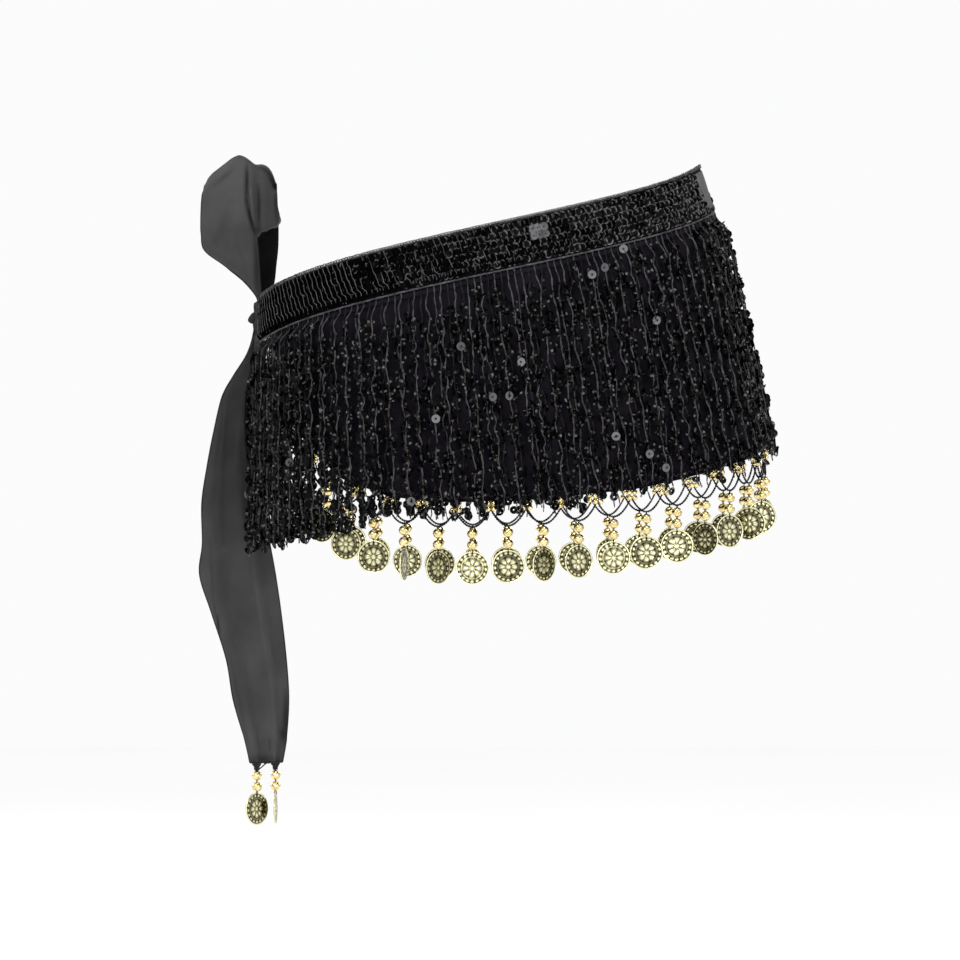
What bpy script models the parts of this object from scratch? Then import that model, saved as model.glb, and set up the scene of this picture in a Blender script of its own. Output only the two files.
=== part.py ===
"""A belly dance hip scarf, tied over one hip, in the hollow form it has when it is worn.

The scarf is a chiffon panel with a sequinned waistband, a fringe of sequinned strands, and a crocheted
garland of gold beads and coins along its hem. Its two tie ends are knotted in a half bow.

Metres, +Z up. The front faces -Y and the knot is at -X. The origin is in the middle of the waist opening,
level with the band's top edge at the centre front.
"""

import math
import random

import bmesh
import bpy
from mathutils import Matrix, Vector

# Waist ring: half sizes at the band's top edge, and how much it grows and shifts down to the hem
WAIST_HALF_WIDTH = 0.152
WAIST_HALF_DEPTH = 0.105
HIP_EXTRA_WIDTH = 0.025
HIP_EXTRA_DEPTH = 0.020
HIP_SHIFT = 0.0217
FLARE_DEPTH = 0.190
FLARE_POWER = 0.85

# The band runs uphill from the knot to the other hip
TILT_RISE = 0.046
TILT_ROUNDING = 0.97

# Distance below the band's top edge at which each piece of the band starts and ends
COLUMN_STEP = 5
PANEL_ROWS = 5
BRAID_RADIUS = 0.0014
BAND_TOP, BAND_BOTTOM = 0.0018, 0.0304
LOWER_BRAID_DEPTH = 0.0322
STRIP_TOP, STRIP_BOTTOM = 0.0342, 0.0372
PANEL_TOP = 0.0020
GAP = 0.0003
PANEL_THICKNESS = 0.0010
BAND_THICKNESS = 0.0012
STRIP_THICKNESS = 0.0018
TIE_THICKNESS = 0.0012

# Turns round the waist in degrees: 0 at the knot, 90 at the centre front, 180 at the far hip
FRONT_TURN = 90
BAND_TURNS = (5, 355)
PANEL_TURNS = (15, 345)
STRIP_TURNS = (5, 350)
GARLAND_TURNS = (38, 322)

# Cut of the panel's lower edge: turn from the knot on either side, depth below the band's top edge
HEM_ROWS = [
    {"turn": 15, "depth": 0.038},
    {"turn": 22, "depth": 0.066},
    {"turn": 30, "depth": 0.095},
    {"turn": 37, "depth": 0.118},
    {"turn": 49, "depth": 0.148},
    {"turn": 62, "depth": 0.168},
    {"turn": 76, "depth": 0.180},
    {"turn": 97, "depth": 0.190},
    {"turn": 120, "depth": 0.196},
    {"turn": 180, "depth": 0.197},
]
PANEL_WAVES = 16
PANEL_WAVE_HEIGHT = 0.0012

# Fringe: doubled strands, one leg in each of two layers
FRINGE_ROOTS = 90
FRINGE_SEED = 7
STRAND_RADIUS = 0.0015
ROOT_RADIUS = 0.0007
STRAND_SWAY = 0.0016
LENGTH_SPREAD = 0.005
STRAND_SHOULDER = 0.010
END_ABOVE_DROPS = 0.004
LONG_STRANDS_BELOW_TURN = 60
# Strand length and the distance of both layers from the panel, by the turn from the knot
FRINGE_ROWS = [
    {"turn": 0, "length": 0.138, "inner": 0.0034, "outer": 0.0074},
    {"turn": 22, "length": 0.141, "inner": 0.0034, "outer": 0.0074},
    {"turn": 34, "length": 0.146, "inner": 0.0072, "outer": 0.0112},
    {"turn": 60, "length": 0.149, "inner": 0.0072, "outer": 0.0112},
    {"turn": 76, "length": 0.158, "inner": 0.0034, "outer": 0.0074},
    {"turn": 100, "length": 0.163, "inner": 0.0034, "outer": 0.0074},
    {"turn": 180, "length": 0.163, "inner": 0.0034, "outer": 0.0074},
]

# Garland: scallops of crocheted thread hung from bead clusters just under the hem
SCALLOP_COUNT = 33
THREAD_RADIUS = 0.0007
CLUSTER_SIZE = 0.0076
CLUSTER_THICKNESS = 0.0036
APEX_BELOW_HEM = 0.0062
SCALLOP_SAG = 0.0118
STEEPEST_LOW = 0.25

# Coin drop: two beads over a coin, all on one doubled thread
BEAD_RADIUS = 0.0036
BEAD_CENTRES = (0.0049, 0.0126)
NECK_RADIUS = 0.0010
STUB_RADIUS = 0.0006
STUB_TOP = THREAD_RADIUS + 0.00035
BEAD_SIDES = 6
COIN_RADIUS = 0.0114
COIN_THICKNESS = 0.0011
COIN_CENTRE = 0.0280
COIN_SIDES = 10
TIE_DROP_EXTRA = 0.0050

# Which way each front coin faces, from the knot round, in degrees from straight ahead
FRONT_COIN_FACINGS = [-36, -26, -14, 76, 46, 6, -8, 48, 34, 0, -6, 8, -42, 34, -12, 26, 60]
BACK_COIN_TWISTS = (18, -14, 42, -30, 8)

# The knot
KNOT_CENTRE = (-0.1560, 0.0000, -0.0560)
KNOT_HALF_SIZES = (0.0085, 0.0097, 0.0105)

# Bow loop: sections from the knot up the front layer, over the top and down the back layer
LOOP_ROWS = [
    {"z": -0.0455, "y": -0.0030, "left": -0.1605, "right": -0.1515},
    {"z": -0.0330, "y": -0.0080, "left": -0.1700, "right": -0.1515},
    {"z": -0.0220, "y": -0.0120, "left": -0.1850, "right": -0.1520},
    {"z": -0.0100, "y": -0.0150, "left": -0.1925, "right": -0.1510},
    {"z": 0.0000, "y": -0.0165, "left": -0.1940, "right": -0.1460},
    {"z": 0.0080, "y": -0.0170, "left": -0.1940, "right": -0.1415},
    {"z": 0.0220, "y": -0.0160, "left": -0.1945, "right": -0.1420},
    {"z": 0.0360, "y": -0.0120, "left": -0.1910, "right": -0.1440},
    {"z": 0.0470, "y": -0.0065, "left": -0.1830, "right": -0.1505},
    {"z": 0.0535, "y": 0.0005, "left": -0.1755, "right": -0.1580},
    {"z": 0.0470, "y": 0.0080, "left": -0.1830, "right": -0.1510},
    {"z": 0.0360, "y": 0.0125, "left": -0.1890, "right": -0.1450},
    {"z": 0.0220, "y": 0.0160, "left": -0.1915, "right": -0.1425},
    {"z": 0.0060, "y": 0.0170, "left": -0.1915, "right": -0.1420},
    {"z": -0.0100, "y": 0.0150, "left": -0.1890, "right": -0.1425},
    {"z": -0.0230, "y": 0.0115, "left": -0.1820, "right": -0.1435},
    {"z": -0.0345, "y": 0.0075, "left": -0.1690, "right": -0.1460},
    {"z": -0.0455, "y": 0.0030, "left": -0.1600, "right": -0.1515},
]
LOOP_COLUMNS = 8
LOOP_FOLDS = 2.0
LOOP_FOLD_HEIGHT = 0.0022

# Front tie end: both edges of the hanging cloth, row by row down from the knot
TAIL_ROWS = [
    {"z": -0.0669, "left_x": -0.1595, "left_y": -0.0040, "right_x": -0.1530, "right_y": 0.0035},
    {"z": -0.0770, "left_x": -0.1640, "left_y": -0.0010, "right_x": -0.1585, "right_y": 0.0110},
    {"z": -0.0875, "left_x": -0.1675, "left_y": 0.0005, "right_x": -0.1620, "right_y": 0.0200},
    {"z": -0.1010, "left_x": -0.1740, "left_y": 0.0000, "right_x": -0.1630, "right_y": 0.0275},
    {"z": -0.1155, "left_x": -0.1805, "left_y": 0.0000, "right_x": -0.1620, "right_y": 0.0350},
    {"z": -0.1405, "left_x": -0.1865, "left_y": 0.0000, "right_x": -0.1600, "right_y": 0.0450},
    {"z": -0.1650, "left_x": -0.1912, "left_y": 0.0010, "right_x": -0.1560, "right_y": 0.0530},
    {"z": -0.1900, "left_x": -0.1948, "left_y": 0.0020, "right_x": -0.1535, "right_y": 0.0575},
    {"z": -0.2180, "left_x": -0.1945, "left_y": 0.0040, "right_x": -0.1490, "right_y": 0.0600},
    {"z": -0.2400, "left_x": -0.1965, "left_y": 0.0060, "right_x": -0.1450, "right_y": 0.0580},
    {"z": -0.2660, "left_x": -0.1885, "left_y": 0.0080, "right_x": -0.1410, "right_y": 0.0520},
    {"z": -0.2990, "left_x": -0.1780, "left_y": 0.0090, "right_x": -0.1370, "right_y": 0.0450},
    {"z": -0.3280, "left_x": -0.1730, "left_y": 0.0100, "right_x": -0.1350, "right_y": 0.0390},
    {"z": -0.3560, "left_x": -0.1650, "left_y": 0.0110, "right_x": -0.1365, "right_y": 0.0320},
    {"z": -0.3720, "left_x": -0.1615, "left_y": 0.0120, "right_x": -0.1390, "right_y": 0.0280},
]
TAIL_COLUMNS = 8
TAIL_FOLDS = 2.0
TAIL_FOLD_HEIGHT = 0.0025

# Rear tie end: hidden behind the front one, a little narrower and shorter
REAR_TAIL_TOP = {"z": -0.0632, "left_x": -0.1630, "left_y": 0.0030, "right_x": -0.1580, "right_y": 0.0080}
REAR_TAIL_END = -0.250
# At each fall below the origin: share of the front end's width, distance behind it, and shift along it
REAR_TAIL_ROWS = [
    {"fall": 0.077, "width": 0.50, "behind": 0.0045, "along": 0.0110},
    {"fall": 0.101, "width": 0.60, "behind": 0.0062, "along": 0.0115},
    {"fall": 0.140, "width": 0.70, "behind": 0.0075, "along": 0.0100},
    {"fall": 0.190, "width": 0.76, "behind": 0.0085, "along": 0.0085},
    {"fall": 0.300, "width": 0.80, "behind": 0.0105, "along": 0.0090},
]
TAIL_DROP_PLACES = {"front_tie": (0.16, 0.84), "rear_tie": (0.40, 0.86)}
TAIL_DROP_FACINGS = {"front_tie": (50, 86), "rear_tie": (44, 44)}

# How far a coin drop swings, in degrees: in towards the wearer, and out
SWING_IN = 12
SWING_OUT = 30
SWING_OUT_BEHIND_STRANDS = 3
SWING_TIE_DROP = 25
SWING_REAR_TOWARDS_FRONT = 4


def new_collections():
    """An empty file with one collection for the scarf and one for the shapes that are joined to it."""
    for old in list(bpy.data.objects):
        bpy.data.objects.remove(old, do_unlink=True)
    scarf = bpy.data.collections.new("hip_scarf")
    helpers = bpy.data.collections.new("hip_scarf_helpers")
    for collection in (scarf, helpers):
        bpy.context.scene.collection.children.link(collection)
    return scarf, helpers


def make_material(name, colour, roughness, metallic=0.0):
    material = bpy.data.materials.new(name)
    material.use_nodes = True
    shader = material.node_tree.nodes["Principled BSDF"]
    shader.inputs["Base Color"].default_value = (*colour, 1.0)
    shader.inputs["Roughness"].default_value = roughness
    shader.inputs["Metallic"].default_value = metallic
    material.diffuse_color = (*colour, 1.0)
    return material


def between(rows, key, at, by="turn"):
    """The value of one column of a table at a place between its rows."""
    if at <= rows[0][by]:
        return rows[0][key]
    for low, high in zip(rows, rows[1:]):
        if at <= high[by]:
            share = (at - low[by]) / (high[by] - low[by])
            return low[key] + share * (high[key] - low[key])
    return rows[-1][key]


def from_knot(turn):
    """Degrees from the knot the shorter way round."""
    return min(turn % 360, 360 - turn % 360)


def hem_depth(turn):
    return between(HEM_ROWS, "depth", from_knot(turn))


def band_height(turn):
    """Height of the band's top edge: lowest at the knot, highest at the far hip."""
    angle = math.radians(turn - FRONT_TURN)
    return TILT_RISE * math.asin(TILT_ROUNDING * math.sin(angle)) / math.asin(TILT_ROUNDING)


def ring_sizes(depth):
    """Centre offset, half width and half depth of the ring at a depth below the band's top edge."""
    flare = (max(depth, 0.0) / FLARE_DEPTH) ** FLARE_POWER
    width = WAIST_HALF_WIDTH + HIP_EXTRA_WIDTH * flare
    return HIP_SHIFT * flare, width, WAIST_HALF_DEPTH + HIP_EXTRA_DEPTH * flare


def ring_normal(turn, depth):
    _, width, length = ring_sizes(depth)
    angle = math.radians(turn - FRONT_TURN)
    return Vector((length * math.sin(angle), -width * math.cos(angle), 0.0)).normalized()


def ring_tangent(turn, depth):
    return Vector((0.0, 0.0, 1.0)).cross(ring_normal(turn, depth))


def ring_point(turn, depth, out=0.0):
    """A point on the panel's outer face, moved out from it by a given distance."""
    centre, width, length = ring_sizes(depth)
    angle = math.radians(turn - FRONT_TURN)
    point = Vector((centre + width * math.sin(angle), -length * math.cos(angle), band_height(turn) - depth))
    return point + out * ring_normal(turn, depth)


def even_turns(start, end, count, depth_at):
    """Turns that divide a line round the ring into equal lengths, both ends included."""
    steps = [start + (end - start) * i / 720 for i in range(721)]
    points = [ring_point(turn, depth_at(turn)) for turn in steps]
    lengths = [0.0]
    for one, two in zip(points, points[1:]):
        lengths.append(lengths[-1] + (two - one).length)
    turns = []
    index = 0
    for i in range(count + 1):
        wanted = lengths[-1] * i / count
        while index < 719 and lengths[index + 1] < wanted:
            index += 1
        share = (wanted - lengths[index]) / (lengths[index + 1] - lengths[index])
        turns.append(steps[index] + share * (steps[index + 1] - steps[index]))
    return turns


def finish(name, mesh, material, collection):
    mesh.materials.append(material)
    piece = bpy.data.objects.new(name, mesh)
    collection.objects.link(piece)
    return piece


def add_thickness(piece, thickness, offset):
    """Solidify: offset -1 grows the cloth inwards, 1 outwards and 0 both ways."""
    wall = piece.modifiers.new("thickness", "SOLIDIFY")
    wall.thickness = thickness
    wall.offset = offset
    wall.use_even_offset = True


def sheet(name, columns, rows, place, material, collection):
    """A grid of cloth whose points are placed by a function of the shares across and down."""
    builder = bmesh.new()
    bmesh.ops.create_grid(builder, x_segments=columns, y_segments=rows, size=0.5)
    for vert in builder.verts:
        vert.co = place(vert.co.x + 0.5, 0.5 - vert.co.y)
    mesh = bpy.data.meshes.new(name)
    builder.to_mesh(mesh)
    builder.free()
    mesh.shade_smooth()
    return finish(name, mesh, material, collection)


def columns_between(turns):
    return round((turns[1] - turns[0]) / COLUMN_STEP)


def make_panel(material, collection):
    """The chiffon panel, cut shorter towards the knot and hanging in soft waves."""
    def place(across, down):
        turn = PANEL_TURNS[0] + across * (PANEL_TURNS[1] - PANEL_TURNS[0])
        depth = PANEL_TOP + down * (hem_depth(turn) - PANEL_TOP)
        wave = 0.5 - 0.5 * math.cos(math.radians(turn) * PANEL_WAVES)
        return ring_point(turn, depth, -PANEL_WAVE_HEIGHT * wave * max(0.0, down - 0.25))
    panel = sheet("chiffon_panel", columns_between(PANEL_TURNS), PANEL_ROWS, place, material, collection)
    add_thickness(panel, PANEL_THICKNESS, -1)


def make_band(material, collection):
    """The sequinned waistband, laid on the panel's top."""
    def place(across, down):
        turn = BAND_TURNS[0] + across * (BAND_TURNS[1] - BAND_TURNS[0])
        return ring_point(turn, BAND_TOP + down * (BAND_BOTTOM - BAND_TOP), GAP)
    band = sheet("sequin_band", columns_between(BAND_TURNS), 1, place, material, collection)
    add_thickness(band, BAND_THICKNESS, 1)


def poly_tube(name, points, radius, closed_ends=True):
    """A tube of four sides through the points, as a mesh with its caps welded."""
    curve = bpy.data.curves.new(name, "CURVE")
    curve.dimensions = "3D"
    curve.bevel_depth = radius
    curve.bevel_resolution = 0
    curve.use_fill_caps = closed_ends
    spline = curve.splines.new("POLY")
    spline.points.add(len(points) - 1)
    for knot, point in zip(spline.points, points):
        knot.co = (*point, 1.0)
    holder = bpy.data.objects.new(name, curve)
    bpy.context.scene.collection.objects.link(holder)
    mesh = evaluated_mesh(holder)
    bpy.data.objects.remove(holder, do_unlink=True)
    builder = bmesh.new()
    builder.from_mesh(mesh)
    bmesh.ops.remove_doubles(builder, verts=builder.verts, dist=0.00001)
    builder.to_mesh(mesh)
    builder.free()
    mesh.name = name
    return mesh


def evaluated_mesh(piece):
    graph = bpy.context.evaluated_depsgraph_get()
    return bpy.data.meshes.new_from_object(piece.evaluated_get(graph))


def make_braids(material, collection):
    """The braided edges above and below the sequins."""
    count = columns_between(BAND_TURNS)
    turns = [BAND_TURNS[0] + COLUMN_STEP * i for i in range(count + 1)]
    for name, depth in (("upper_braid", 0.0), ("lower_braid", LOWER_BRAID_DEPTH)):
        points = [ring_point(turn, depth, GAP + BRAID_RADIUS) for turn in turns]
        finish(name, poly_tube(name, points, BRAID_RADIUS), material, collection)


def add_strand(builder, sections):
    """One strand of three sides, extruded from its root section down to its end."""
    corners = bmesh.ops.create_circle(builder, cap_ends=True, segments=3, radius=1.0)["verts"]
    face = corners[0].link_faces[0]
    for index, section in enumerate(sections):
        if index:
            grown = bmesh.ops.extrude_face_region(builder, geom=[face])["geom"]
            if index > 1:
                bmesh.ops.delete(builder, geom=[face], context="FACES_ONLY")
            face = next(item for item in grown if isinstance(item, bmesh.types.BMFace))
        for i, vert in enumerate(face.verts):
            angle = math.radians(90 + 120 * i)
            across = section["tangent"] * math.cos(angle) + section["normal"] * math.sin(angle)
            vert.co = section["centre"] + section["radius"] * across


def strand_end(turn, length):
    """Depth of a strand's end. In front of free coins it stays above the thread they hang on."""
    end = STRIP_BOTTOM + length
    if from_knot(turn) >= LONG_STRANDS_BELOW_TURN:
        end = min(end, hem_depth(turn) + APEX_BELOW_HEM + SCALLOP_SAG - END_ABOVE_DROPS)
    return end


def strand_sections(turn, layer, draw):
    near = from_knot(turn)
    length = between(FRINGE_ROWS, "length", near) + draw.uniform(-LENGTH_SPREAD, LENGTH_SPREAD)
    end = strand_end(turn, length)
    hang = between(FRINGE_ROWS, layer, near)
    depths = (STRIP_BOTTOM - 0.0015, STRIP_BOTTOM + STRAND_SHOULDER, (STRIP_BOTTOM + end) / 2, end)
    outs = (GAP + 0.4 * STRIP_THICKNESS, hang, hang, hang)
    sways = (0.0, 0.0, draw.uniform(-STRAND_SWAY, STRAND_SWAY), draw.uniform(-STRAND_SWAY, STRAND_SWAY))
    radii = (ROOT_RADIUS, STRAND_RADIUS, STRAND_RADIUS, STRAND_RADIUS)
    sections = []
    for depth, out, sway, radius in zip(depths, outs, sways, radii):
        tangent = ring_tangent(turn, depth)
        sections.append({
            "centre": ring_point(turn, depth, out) + sway * tangent,
            "tangent": tangent,
            "normal": ring_normal(turn, depth),
            "radius": radius,
        })
    return sections


def join_to(piece, joined_name, joined_mesh, helpers):
    """Union with a mesh that stays as a hidden helper."""
    helper = bpy.data.objects.new(joined_name, joined_mesh)
    helper.hide_render = True
    helper.display_type = "WIRE"
    helpers.objects.link(helper)
    union = piece.modifiers.new("union", "BOOLEAN")
    union.operation = "UNION"
    union.object = helper


def make_fringe(material, collection, helpers):
    """A narrow strip below the band, with doubled strands hanging from it."""
    def place(across, down):
        turn = STRIP_TURNS[0] + across * (STRIP_TURNS[1] - STRIP_TURNS[0])
        return ring_point(turn, STRIP_TOP + down * (STRIP_BOTTOM - STRIP_TOP), GAP)
    strip = sheet("sequin_fringe", columns_between(STRIP_TURNS), 1, place, material, collection)
    add_thickness(strip, STRIP_THICKNESS, 1)

    draw = random.Random(FRINGE_SEED)
    builder = bmesh.new()
    places = even_turns(STRIP_TURNS[0], STRIP_TURNS[1], 4 * FRINGE_ROOTS, lambda turn: STRIP_BOTTOM)
    for root in range(FRINGE_ROOTS):
        add_strand(builder, strand_sections(places[4 * root + 1], "inner", draw))
        add_strand(builder, strand_sections(places[4 * root + 3], "outer", draw))
    bmesh.ops.recalc_face_normals(builder, faces=builder.faces)
    mesh = bpy.data.meshes.new("fringe_strands")
    builder.to_mesh(mesh)
    builder.free()
    join_to(strip, "fringe_strands", mesh, helpers)


def scallops():
    """Each scallop's end turns, the share at which it is lowest, and its shape as a function of the share."""
    turns = even_turns(GARLAND_TURNS[0], GARLAND_TURNS[1], SCALLOP_COUNT, hem_depth)
    result = []
    for start, end in zip(turns, turns[1:]):
        heights = [band_height(turn) - hem_depth(turn) - APEX_BELOW_HEM for turn in (start, end)]
        fall = heights[1] - heights[0]
        lowest = min(max(0.5 - fall / (8 * SCALLOP_SAG), STEEPEST_LOW), 1 - STEEPEST_LOW)

        def shape(share, start=start, end=end, heights=heights, fall=fall):
            turn = start + share * (end - start)
            point = ring_point(turn, hem_depth(turn), -PANEL_THICKNESS / 2)
            point.z = heights[0] + fall * share - 4 * SCALLOP_SAG * share * (1 - share)
            return point
        result.append({"start": start, "end": end, "lowest": lowest, "shape": shape})
    return result


def make_garland(material, collection, helpers):
    """The crocheted scallops with a cluster of small beads at each end of each scallop."""
    points = []
    clusters = bmesh.new()
    for scallop in scallops():
        low = scallop["lowest"]
        rise = 1 - low
        for share in (0.0, 0.5 * low, 0.85 * low, low + 0.15 * rise, low + 0.5 * rise):
            points.append(scallop["shape"](share))
        add_cluster(clusters, scallop["start"])
    points.append(scallops()[-1]["shape"](1.0))
    add_cluster(clusters, GARLAND_TURNS[1])
    thread = poly_tube("bead_garland", points, THREAD_RADIUS)
    garland = finish("bead_garland", thread, material, collection)
    mesh = bpy.data.meshes.new("bead_clusters")
    clusters.to_mesh(mesh)
    clusters.free()
    join_to(garland, "bead_clusters", mesh, helpers)


def add_cluster(builder, turn):
    """A square cluster of four beads, hanging just under the hem."""
    place = ring_point(turn, hem_depth(turn) + GAP + CLUSTER_SIZE / 2 + cluster_slope_room(turn),
                       -PANEL_THICKNESS / 2)
    facing = math.atan2(ring_normal(turn, hem_depth(turn)).x, -ring_normal(turn, hem_depth(turn)).y)
    size = Matrix.Diagonal((CLUSTER_SIZE, CLUSTER_THICKNESS, CLUSTER_SIZE, 1.0))
    bmesh.ops.create_cube(builder, size=1.0,
                          matrix=Matrix.Translation(place) @ Matrix.Rotation(facing, 4, "Z") @ size)


def cluster_slope_room(turn):
    """Extra depth where the hem climbs, so that the cluster's upper corner stays under it."""
    width = (ring_point(turn + 1, 0.1) - ring_point(turn, 0.1)).xy.length
    rise = abs(hem_height(turn + 1) - hem_height(turn - 1)) / 2
    return 0.5 * CLUSTER_SIZE * rise / width


def hem_height(turn):
    return band_height(turn) - hem_depth(turn)


def drop_mesh(name, extra, helpers):
    """Two turned beads on their thread, joined to a coin. The hinge is at the mesh's origin."""
    upper, lower = (centre + extra for centre in BEAD_CENTRES)
    middle = (upper + lower) / 2
    foot = COIN_CENTRE + extra - COIN_RADIUS
    profile = [
        (0.0, STUB_TOP), (STUB_RADIUS, STUB_TOP), (STUB_RADIUS, max(STUB_TOP, extra) + 0.0002),
        (BEAD_RADIUS, upper), (NECK_RADIUS, middle), (BEAD_RADIUS, lower),
        (NECK_RADIUS, foot + 0.0002), (STUB_RADIUS, foot + 0.0030), (0.0, foot + 0.0030),
    ]
    mesh = bpy.data.meshes.new(name)
    mesh.from_pydata([(x, 0.0, -z) for x, z in profile], [(i, i + 1) for i in range(len(profile) - 1)], [])
    string = bpy.data.objects.new(name, mesh)
    helpers.objects.link(string)
    turned = string.modifiers.new("turned", "SCREW")
    turned.steps = turned.render_steps = BEAD_SIDES
    turned.use_merge_vertices = True
    turned.merge_threshold = 0.00005
    coin = bmesh.new()
    upright = Matrix.Translation((0.0, 0.0, -COIN_CENTRE - extra)) @ Matrix.Rotation(math.pi / 2, 4, "X")
    bmesh.ops.create_cone(coin, cap_ends=True, segments=COIN_SIDES, radius1=COIN_RADIUS, radius2=COIN_RADIUS,
                          depth=COIN_THICKNESS, matrix=upright)
    coin_mesh = bpy.data.meshes.new(name + "_coin")
    coin.to_mesh(coin_mesh)
    coin.free()
    join_to(string, name + "_coin", coin_mesh, helpers)
    joined = evaluated_mesh(string)
    joined.name = name
    for helper in (string, helpers.objects[name + "_coin"]):
        bpy.data.objects.remove(helper, do_unlink=True)
    return joined


def drop_places():
    """Hinge point, hinge axis, facing and limits of every coin drop on the garland."""
    places = []
    for index, scallop in enumerate(scallops()):
        turn = scallop["start"] + scallop["lowest"] * (scallop["end"] - scallop["start"])
        depth = hem_depth(turn)
        normal = ring_normal(turn, depth)
        outward = math.degrees(math.atan2(normal.x, -normal.y))
        if index < len(FRONT_COIN_FACINGS):
            facing = FRONT_COIN_FACINGS[index]
        else:
            facing = outward + BACK_COIN_TWISTS[index % len(BACK_COIN_TWISTS)]
        behind = from_knot(turn) < LONG_STRANDS_BELOW_TURN + 10
        places.append({
            "name": f"coin_drop_{index + 1:02d}",
            "hinge": scallop["shape"](scallop["lowest"]),
            "axis": -ring_tangent(turn, depth),
            "facing": facing,
            "swing": (-SWING_IN, SWING_OUT_BEHIND_STRANDS if behind else SWING_OUT),
        })
    return places


def tail_point(rows, across, down, folds):
    """A point on a tie end, folded lengthwise between its two edges."""
    place = down * (len(rows) - 1)
    index = min(int(place), len(rows) - 2)
    share = place - index
    low, high = rows[index], rows[index + 1]
    row = {key: low[key] + share * (high[key] - low[key]) for key in low}
    left = Vector((row["left_x"], row["left_y"], row["z"]))
    right = Vector((row["right_x"], row["right_y"], row["z"]))
    normal = (right - left).normalized().cross(Vector((0.0, 0.0, 1.0)))
    wave = math.sin(2 * math.pi * TAIL_FOLDS * across) * min(1.0, 3 * down)
    return left.lerp(right, across) + folds * wave * normal


def rear_tail_rows():
    """The rear tie end follows the front one, moved away from the wearer, narrower and shorter."""
    rows = [REAR_TAIL_TOP]
    followed = [row for row in TAIL_ROWS[1:] if row["z"] > REAR_TAIL_END]
    for row in followed:
        width, behind, along = (between(REAR_TAIL_ROWS, key, -row["z"], "fall")
                                for key in ("width", "behind", "along"))
        left = Vector((row["left_x"], row["left_y"]))
        right = Vector((row["right_x"], row["right_y"]))
        ahead = (right - left).normalized()
        middle = (left + right) / 2 + along * ahead + behind * Vector((-ahead.y, ahead.x))
        half = (right - left) / 2 * width
        rows.append({
            "z": row["z"],
            "left_x": (middle - half).x, "left_y": (middle - half).y,
            "right_x": (middle + half).x, "right_y": (middle + half).y,
        })
    return rows


def make_tail(name, rows, material, collection):
    def place(across, down):
        return tail_point(rows, across, down, TAIL_FOLD_HEIGHT)
    tail = sheet(name, TAIL_COLUMNS, len(rows) - 1, place, material, collection)
    add_thickness(tail, TIE_THICKNESS, 0)


def tail_drop_places():
    """Hinges of the coin drops at the corners of both tie ends."""
    places = []
    tails = (("front_tie", TAIL_ROWS, SWING_TIE_DROP),
             ("rear_tie", rear_tail_rows(), SWING_REAR_TOWARDS_FRONT))
    for name, rows, towards_front in tails:
        left, right = (tail_point(rows, share, 1.0, TAIL_FOLD_HEIGHT) for share in (0.0, 1.0))
        axis = (left - right).normalized()
        for label, share, facing in zip(("left", "right"), TAIL_DROP_PLACES[name], TAIL_DROP_FACINGS[name]):
            corner = tail_point(rows, share, 1.0, TAIL_FOLD_HEIGHT)
            places.append({
                "name": f"{name}_drop_{label}",
                "hinge": corner + Vector((0.0, 0.0, STUB_TOP - GAP)),
                "axis": axis,
                "facing": facing,
                "swing": (-SWING_TIE_DROP, towards_front),
            })
    return places


def make_drops(places, mesh, collection):
    """Each drop is its own object, with its origin on its hinge."""
    for place in places:
        drop = bpy.data.objects.new(place["name"], mesh)
        drop.location = place["hinge"]
        drop.rotation_euler = (0.0, 0.0, math.radians(place["facing"]))
        collection.objects.link(drop)


def make_knot(material, collection):
    """The tied knot where both tie ends meet the band's ends."""
    builder = bmesh.new()
    place = Matrix.Translation(KNOT_CENTRE) @ Matrix.Diagonal((*KNOT_HALF_SIZES, 1.0))
    bmesh.ops.create_uvsphere(builder, u_segments=12, v_segments=8, radius=1.0, matrix=place)
    mesh = bpy.data.meshes.new("tie_knot")
    builder.to_mesh(mesh)
    builder.free()
    mesh.shade_smooth()
    finish("tie_knot", mesh, material, collection)


def make_loop(material, collection):
    """The bow loop: one length of the tie, up the front, over the top and down behind."""
    def place(across, along):
        at = along * (len(LOOP_ROWS) - 1)
        index = min(int(at), len(LOOP_ROWS) - 2)
        share = at - index
        row = {key: LOOP_ROWS[index][key] * (1 - share) + LOOP_ROWS[index + 1][key] * share
               for key in LOOP_ROWS[0]}
        side = 1.0 if row["y"] > 0.0 else -1.0
        fold = side * LOOP_FOLD_HEIGHT * math.sin(2 * math.pi * LOOP_FOLDS * across)
        fold *= math.sin(math.pi * along) * min(1.0, abs(row["y"]) / 0.01)
        return Vector((row["left"] + across * (row["right"] - row["left"]), row["y"] + fold, row["z"]))
    loop = sheet("bow_loop", LOOP_COLUMNS, len(LOOP_ROWS) - 1, place, material, collection)
    add_thickness(loop, TIE_THICKNESS, 0)


def build_scarf():
    scarf, helpers = new_collections()
    chiffon = make_material("black chiffon", (0.035, 0.035, 0.037), 0.75)
    sequins = make_material("black sequins", (0.012, 0.012, 0.013), 0.25)
    thread = make_material("black thread", (0.03, 0.03, 0.03), 0.8)
    gold = make_material("gold metal", (0.80, 0.68, 0.38), 0.28, 1.0)
    make_panel(chiffon, scarf)
    make_band(sequins, scarf)
    make_braids(thread, scarf)
    make_fringe(sequins, scarf, helpers)
    make_garland(thread, scarf, helpers)
    make_knot(chiffon, scarf)
    make_loop(chiffon, scarf)
    make_tail("front_tie_end", TAIL_ROWS, chiffon, scarf)
    make_tail("rear_tie_end", rear_tail_rows(), chiffon, scarf)
    for places, name, extra in ((drop_places(), "coin_drop", 0.0),
                                (tail_drop_places(), "tie_drop", TIE_DROP_EXTRA)):
        mesh = drop_mesh(name, extra, helpers)
        mesh.materials.append(gold)
        make_drops(places, mesh, scarf)


build_scarf()
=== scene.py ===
import math
import random

import bmesh
import bpy
import numpy
from mathutils import Matrix, Vector


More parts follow.
